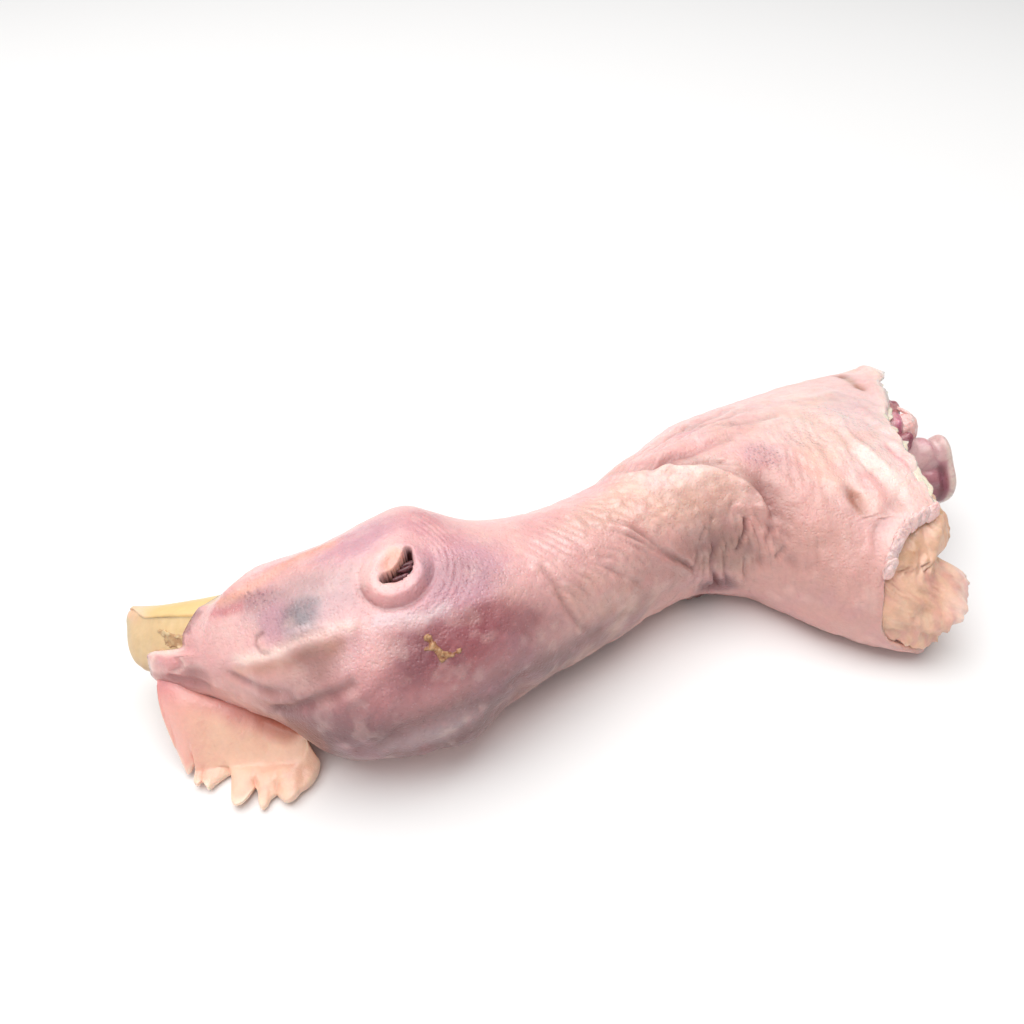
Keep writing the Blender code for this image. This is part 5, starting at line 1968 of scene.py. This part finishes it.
SKIN_ROLL: tuple[Lump, ...] = strand(
    ((165.6, 121.1, 0.1), (164.2, 121.3, 0.3), (162.8, 121.8, 0.1), (161.5, 122.5, 0.4), (160.3, 123.3, 0.2),
     (159.2, 124.3, 0.4), (158.1, 125.4, 0.1), (157.1, 126.7, 0.4), (156.2, 128, 0.3), (155.4, 129.5, 0.1),
     (154.6, 131, 0.4), (153.9, 132.7, 0.2), (153.3, 134.6, 0.3), (152.7, 136.8, 0.1), (152.2, 139.2, 0.2),
     (151.8, 141.8, 0)), (1.8, 1.2, 0.7), 60, Tone.SHELL,
)
EAR_STRANDS: tuple[Lump, ...] = strand(
    ((54.6, 85.8, 2.9), (55.6, 82.4, 3), (53.9, 87.2, 2.2), (56, 79.6, 2.6)), (1.5, 0.5, 0.5), 20, Tone.PLUM,
)


# Light, floor and camera.


@dataclass(frozen=True)
class Studio:
    """Plain pale floor, soft light from above and behind, and the camera."""

    target: Triple = (-0.0067, 0.0238, 0.0)
    bearing: float = -13.0
    climb: float = 42.0
    away: float = 0.218
    focal_px: float = 877.0
    picture_px: float = 1024.0
    key_watts: float = 16.8
    fill_watts: float = 0.9
    surroundings: float = 0.27

    def light(self, name: str, place: Triple, size: float, watts: float, colour: Triple) -> None:
        """Adds a square area light that faces the object.

        Args:
            name: name of the light.
            place: where it hangs.
            size: length of its side.
            watts: its strength.
            colour: its colour.
        """
        data = bpy.data.lights.new(name, "AREA")
        data.size, data.energy, data.color = size, watts, colour
        lamp = bpy.data.objects.new(name, data)
        lamp.location = place
        lamp.rotation_euler = (Vector((0, 0, 0.01)) - Vector(place)).to_track_quat("-Z", "Y").to_euler()
        bpy.context.scene.collection.objects.link(lamp)

    def build(self) -> None:
        """Sets floor, lights, surroundings and camera."""
        bm = bmesh.new()
        bmesh.ops.create_grid(bm, x_segments=2, y_segments=2, size=3.0)
        mesh = as_mesh(bm, "floor")
        floor = bpy.data.objects.new("floor", mesh)
        bpy.context.scene.collection.objects.link(floor)
        shader = Shader("floor_white")
        mesh.materials.append(shader.surface(Base_Color=(0.9, 0.9, 0.9, 1.0), Roughness=0.6, Specular_IOR_Level=0.2))
        self.light("key", (-0.14, 0.12, 1.1), 1.3, self.key_watts, (1.0, 0.99, 0.98))
        self.light("fill", (-0.45, -0.45, 0.5), 0.7, self.fill_watts, (1.0, 0.98, 0.97))
        world = bpy.data.worlds.new("surroundings")
        world.use_nodes = True
        background = world.node_tree.nodes["Background"]
        background.inputs["Color"].default_value = (1.0, 1.0, 1.0, 1.0)
        background.inputs["Strength"].default_value = self.surroundings
        bpy.context.scene.world = world
        bpy.context.scene.view_settings.view_transform = "Standard"
        self.camera()

    def camera(self) -> None:
        """Puts the camera at the photograph's angle."""
        bearing, climb = math.radians(self.bearing), math.radians(self.climb)
        back = Vector((
            math.sin(bearing) * math.cos(climb), -math.cos(bearing) * math.cos(climb), math.sin(climb),
        ))
        data = bpy.data.cameras.new("camera")
        data.sensor_width = 36.0
        data.lens = data.sensor_width * self.focal_px / self.picture_px
        data.clip_start = 0.005
        camera = bpy.data.objects.new("camera", data)
        camera.location = Vector(self.target) + back * self.away
        camera.rotation_euler = (-back).to_track_quat("-Z", "Y").to_euler()
        bpy.context.scene.collection.objects.link(camera)
        bpy.context.scene.camera = camera


def main() -> None:
    """Builds every piece in order and reports it."""
    logging.basicConfig(level=logging.INFO, format="%(message)s")
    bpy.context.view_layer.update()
    Studio().build()
    skin_finish = SkinFinish("wet_skin").build()
    comb_finish = SkinFinish("wet_comb", 0.4, 0.2, 0.0026, 0.07, 0.0009, 0.00005).build()
    horn = HornFinish("horn").build()
    flesh = FleshFinish("raw_meat", 520, 0.0004, 0.3, 0.5, 0.0016, (1, 0.3, 0.25), (0.75, 0.45, 0.48), 0.35).build()
    bone = FleshFinish("wet_bone", 380, 0.0002, 0.3, 0.45, 0.0012, (1, 0.5, 0.45), (0.42, 0.13, 0.2), 0.3).build()
    fat = FleshFinish("wet_fat", 420, 0.0003, 0.36, 0.3, 0.002, (1, 0.6, 0.35), (0.9, 0.5, 0.38), 0.25).build()
    mounted(SKIN.build(), skin_finish, "skin", "skin")
    mounted(BEAK.upper(), horn, "beak_upper", "beak_upper")
    mounted(BEAK.lower(), horn, "beak_lower", "beak_lower")
    mounted(Comb().build(), comb_finish, "comb", "comb")
    mounted(Meat().build(), flesh, "neck_meat", "neck_meat")
    mounted(BONE.build(), bone, "vertebra", "vertebra")
    mounted(Fat().build(), fat, "fat_pad", "fat_pad")
    mounted(Lumps("meat_lobes", MEAT_LOBES, 5, 301, Tone.MEMBRANE).build(), flesh, "neck_meat")
    mounted(Lumps("bone_gristle", GRISTLE_ENDS, 4, 331, Tone.BONE).build(), bone, "vertebra")
    mounted(Lumps("skin_roll", SKIN_ROLL, 5, 361, Tone.BLUSH).build(), skin_finish, "skin")
    # The strands in the ear's opening are darkened towards near black, as painted shade.
    mounted(Lumps("ear_strands", EAR_STRANDS, 3, 421, Tone.PIT_SHADE).build(), flesh, "skin")
    mounted(SCAB.build(), horn, "skin")
    mounted(BEAK_CRUST.build(), horn, "beak_upper")
    mounted(Frill("cut_frill", 54, 126, 1.5).build(), skin_finish, "skin")
    mounted(Frill("cut_frill_inner", 66, 108, 2.6, seed=431, depth=1.3).build(), skin_finish, "skin")


if __name__ == "__main__":
    main()
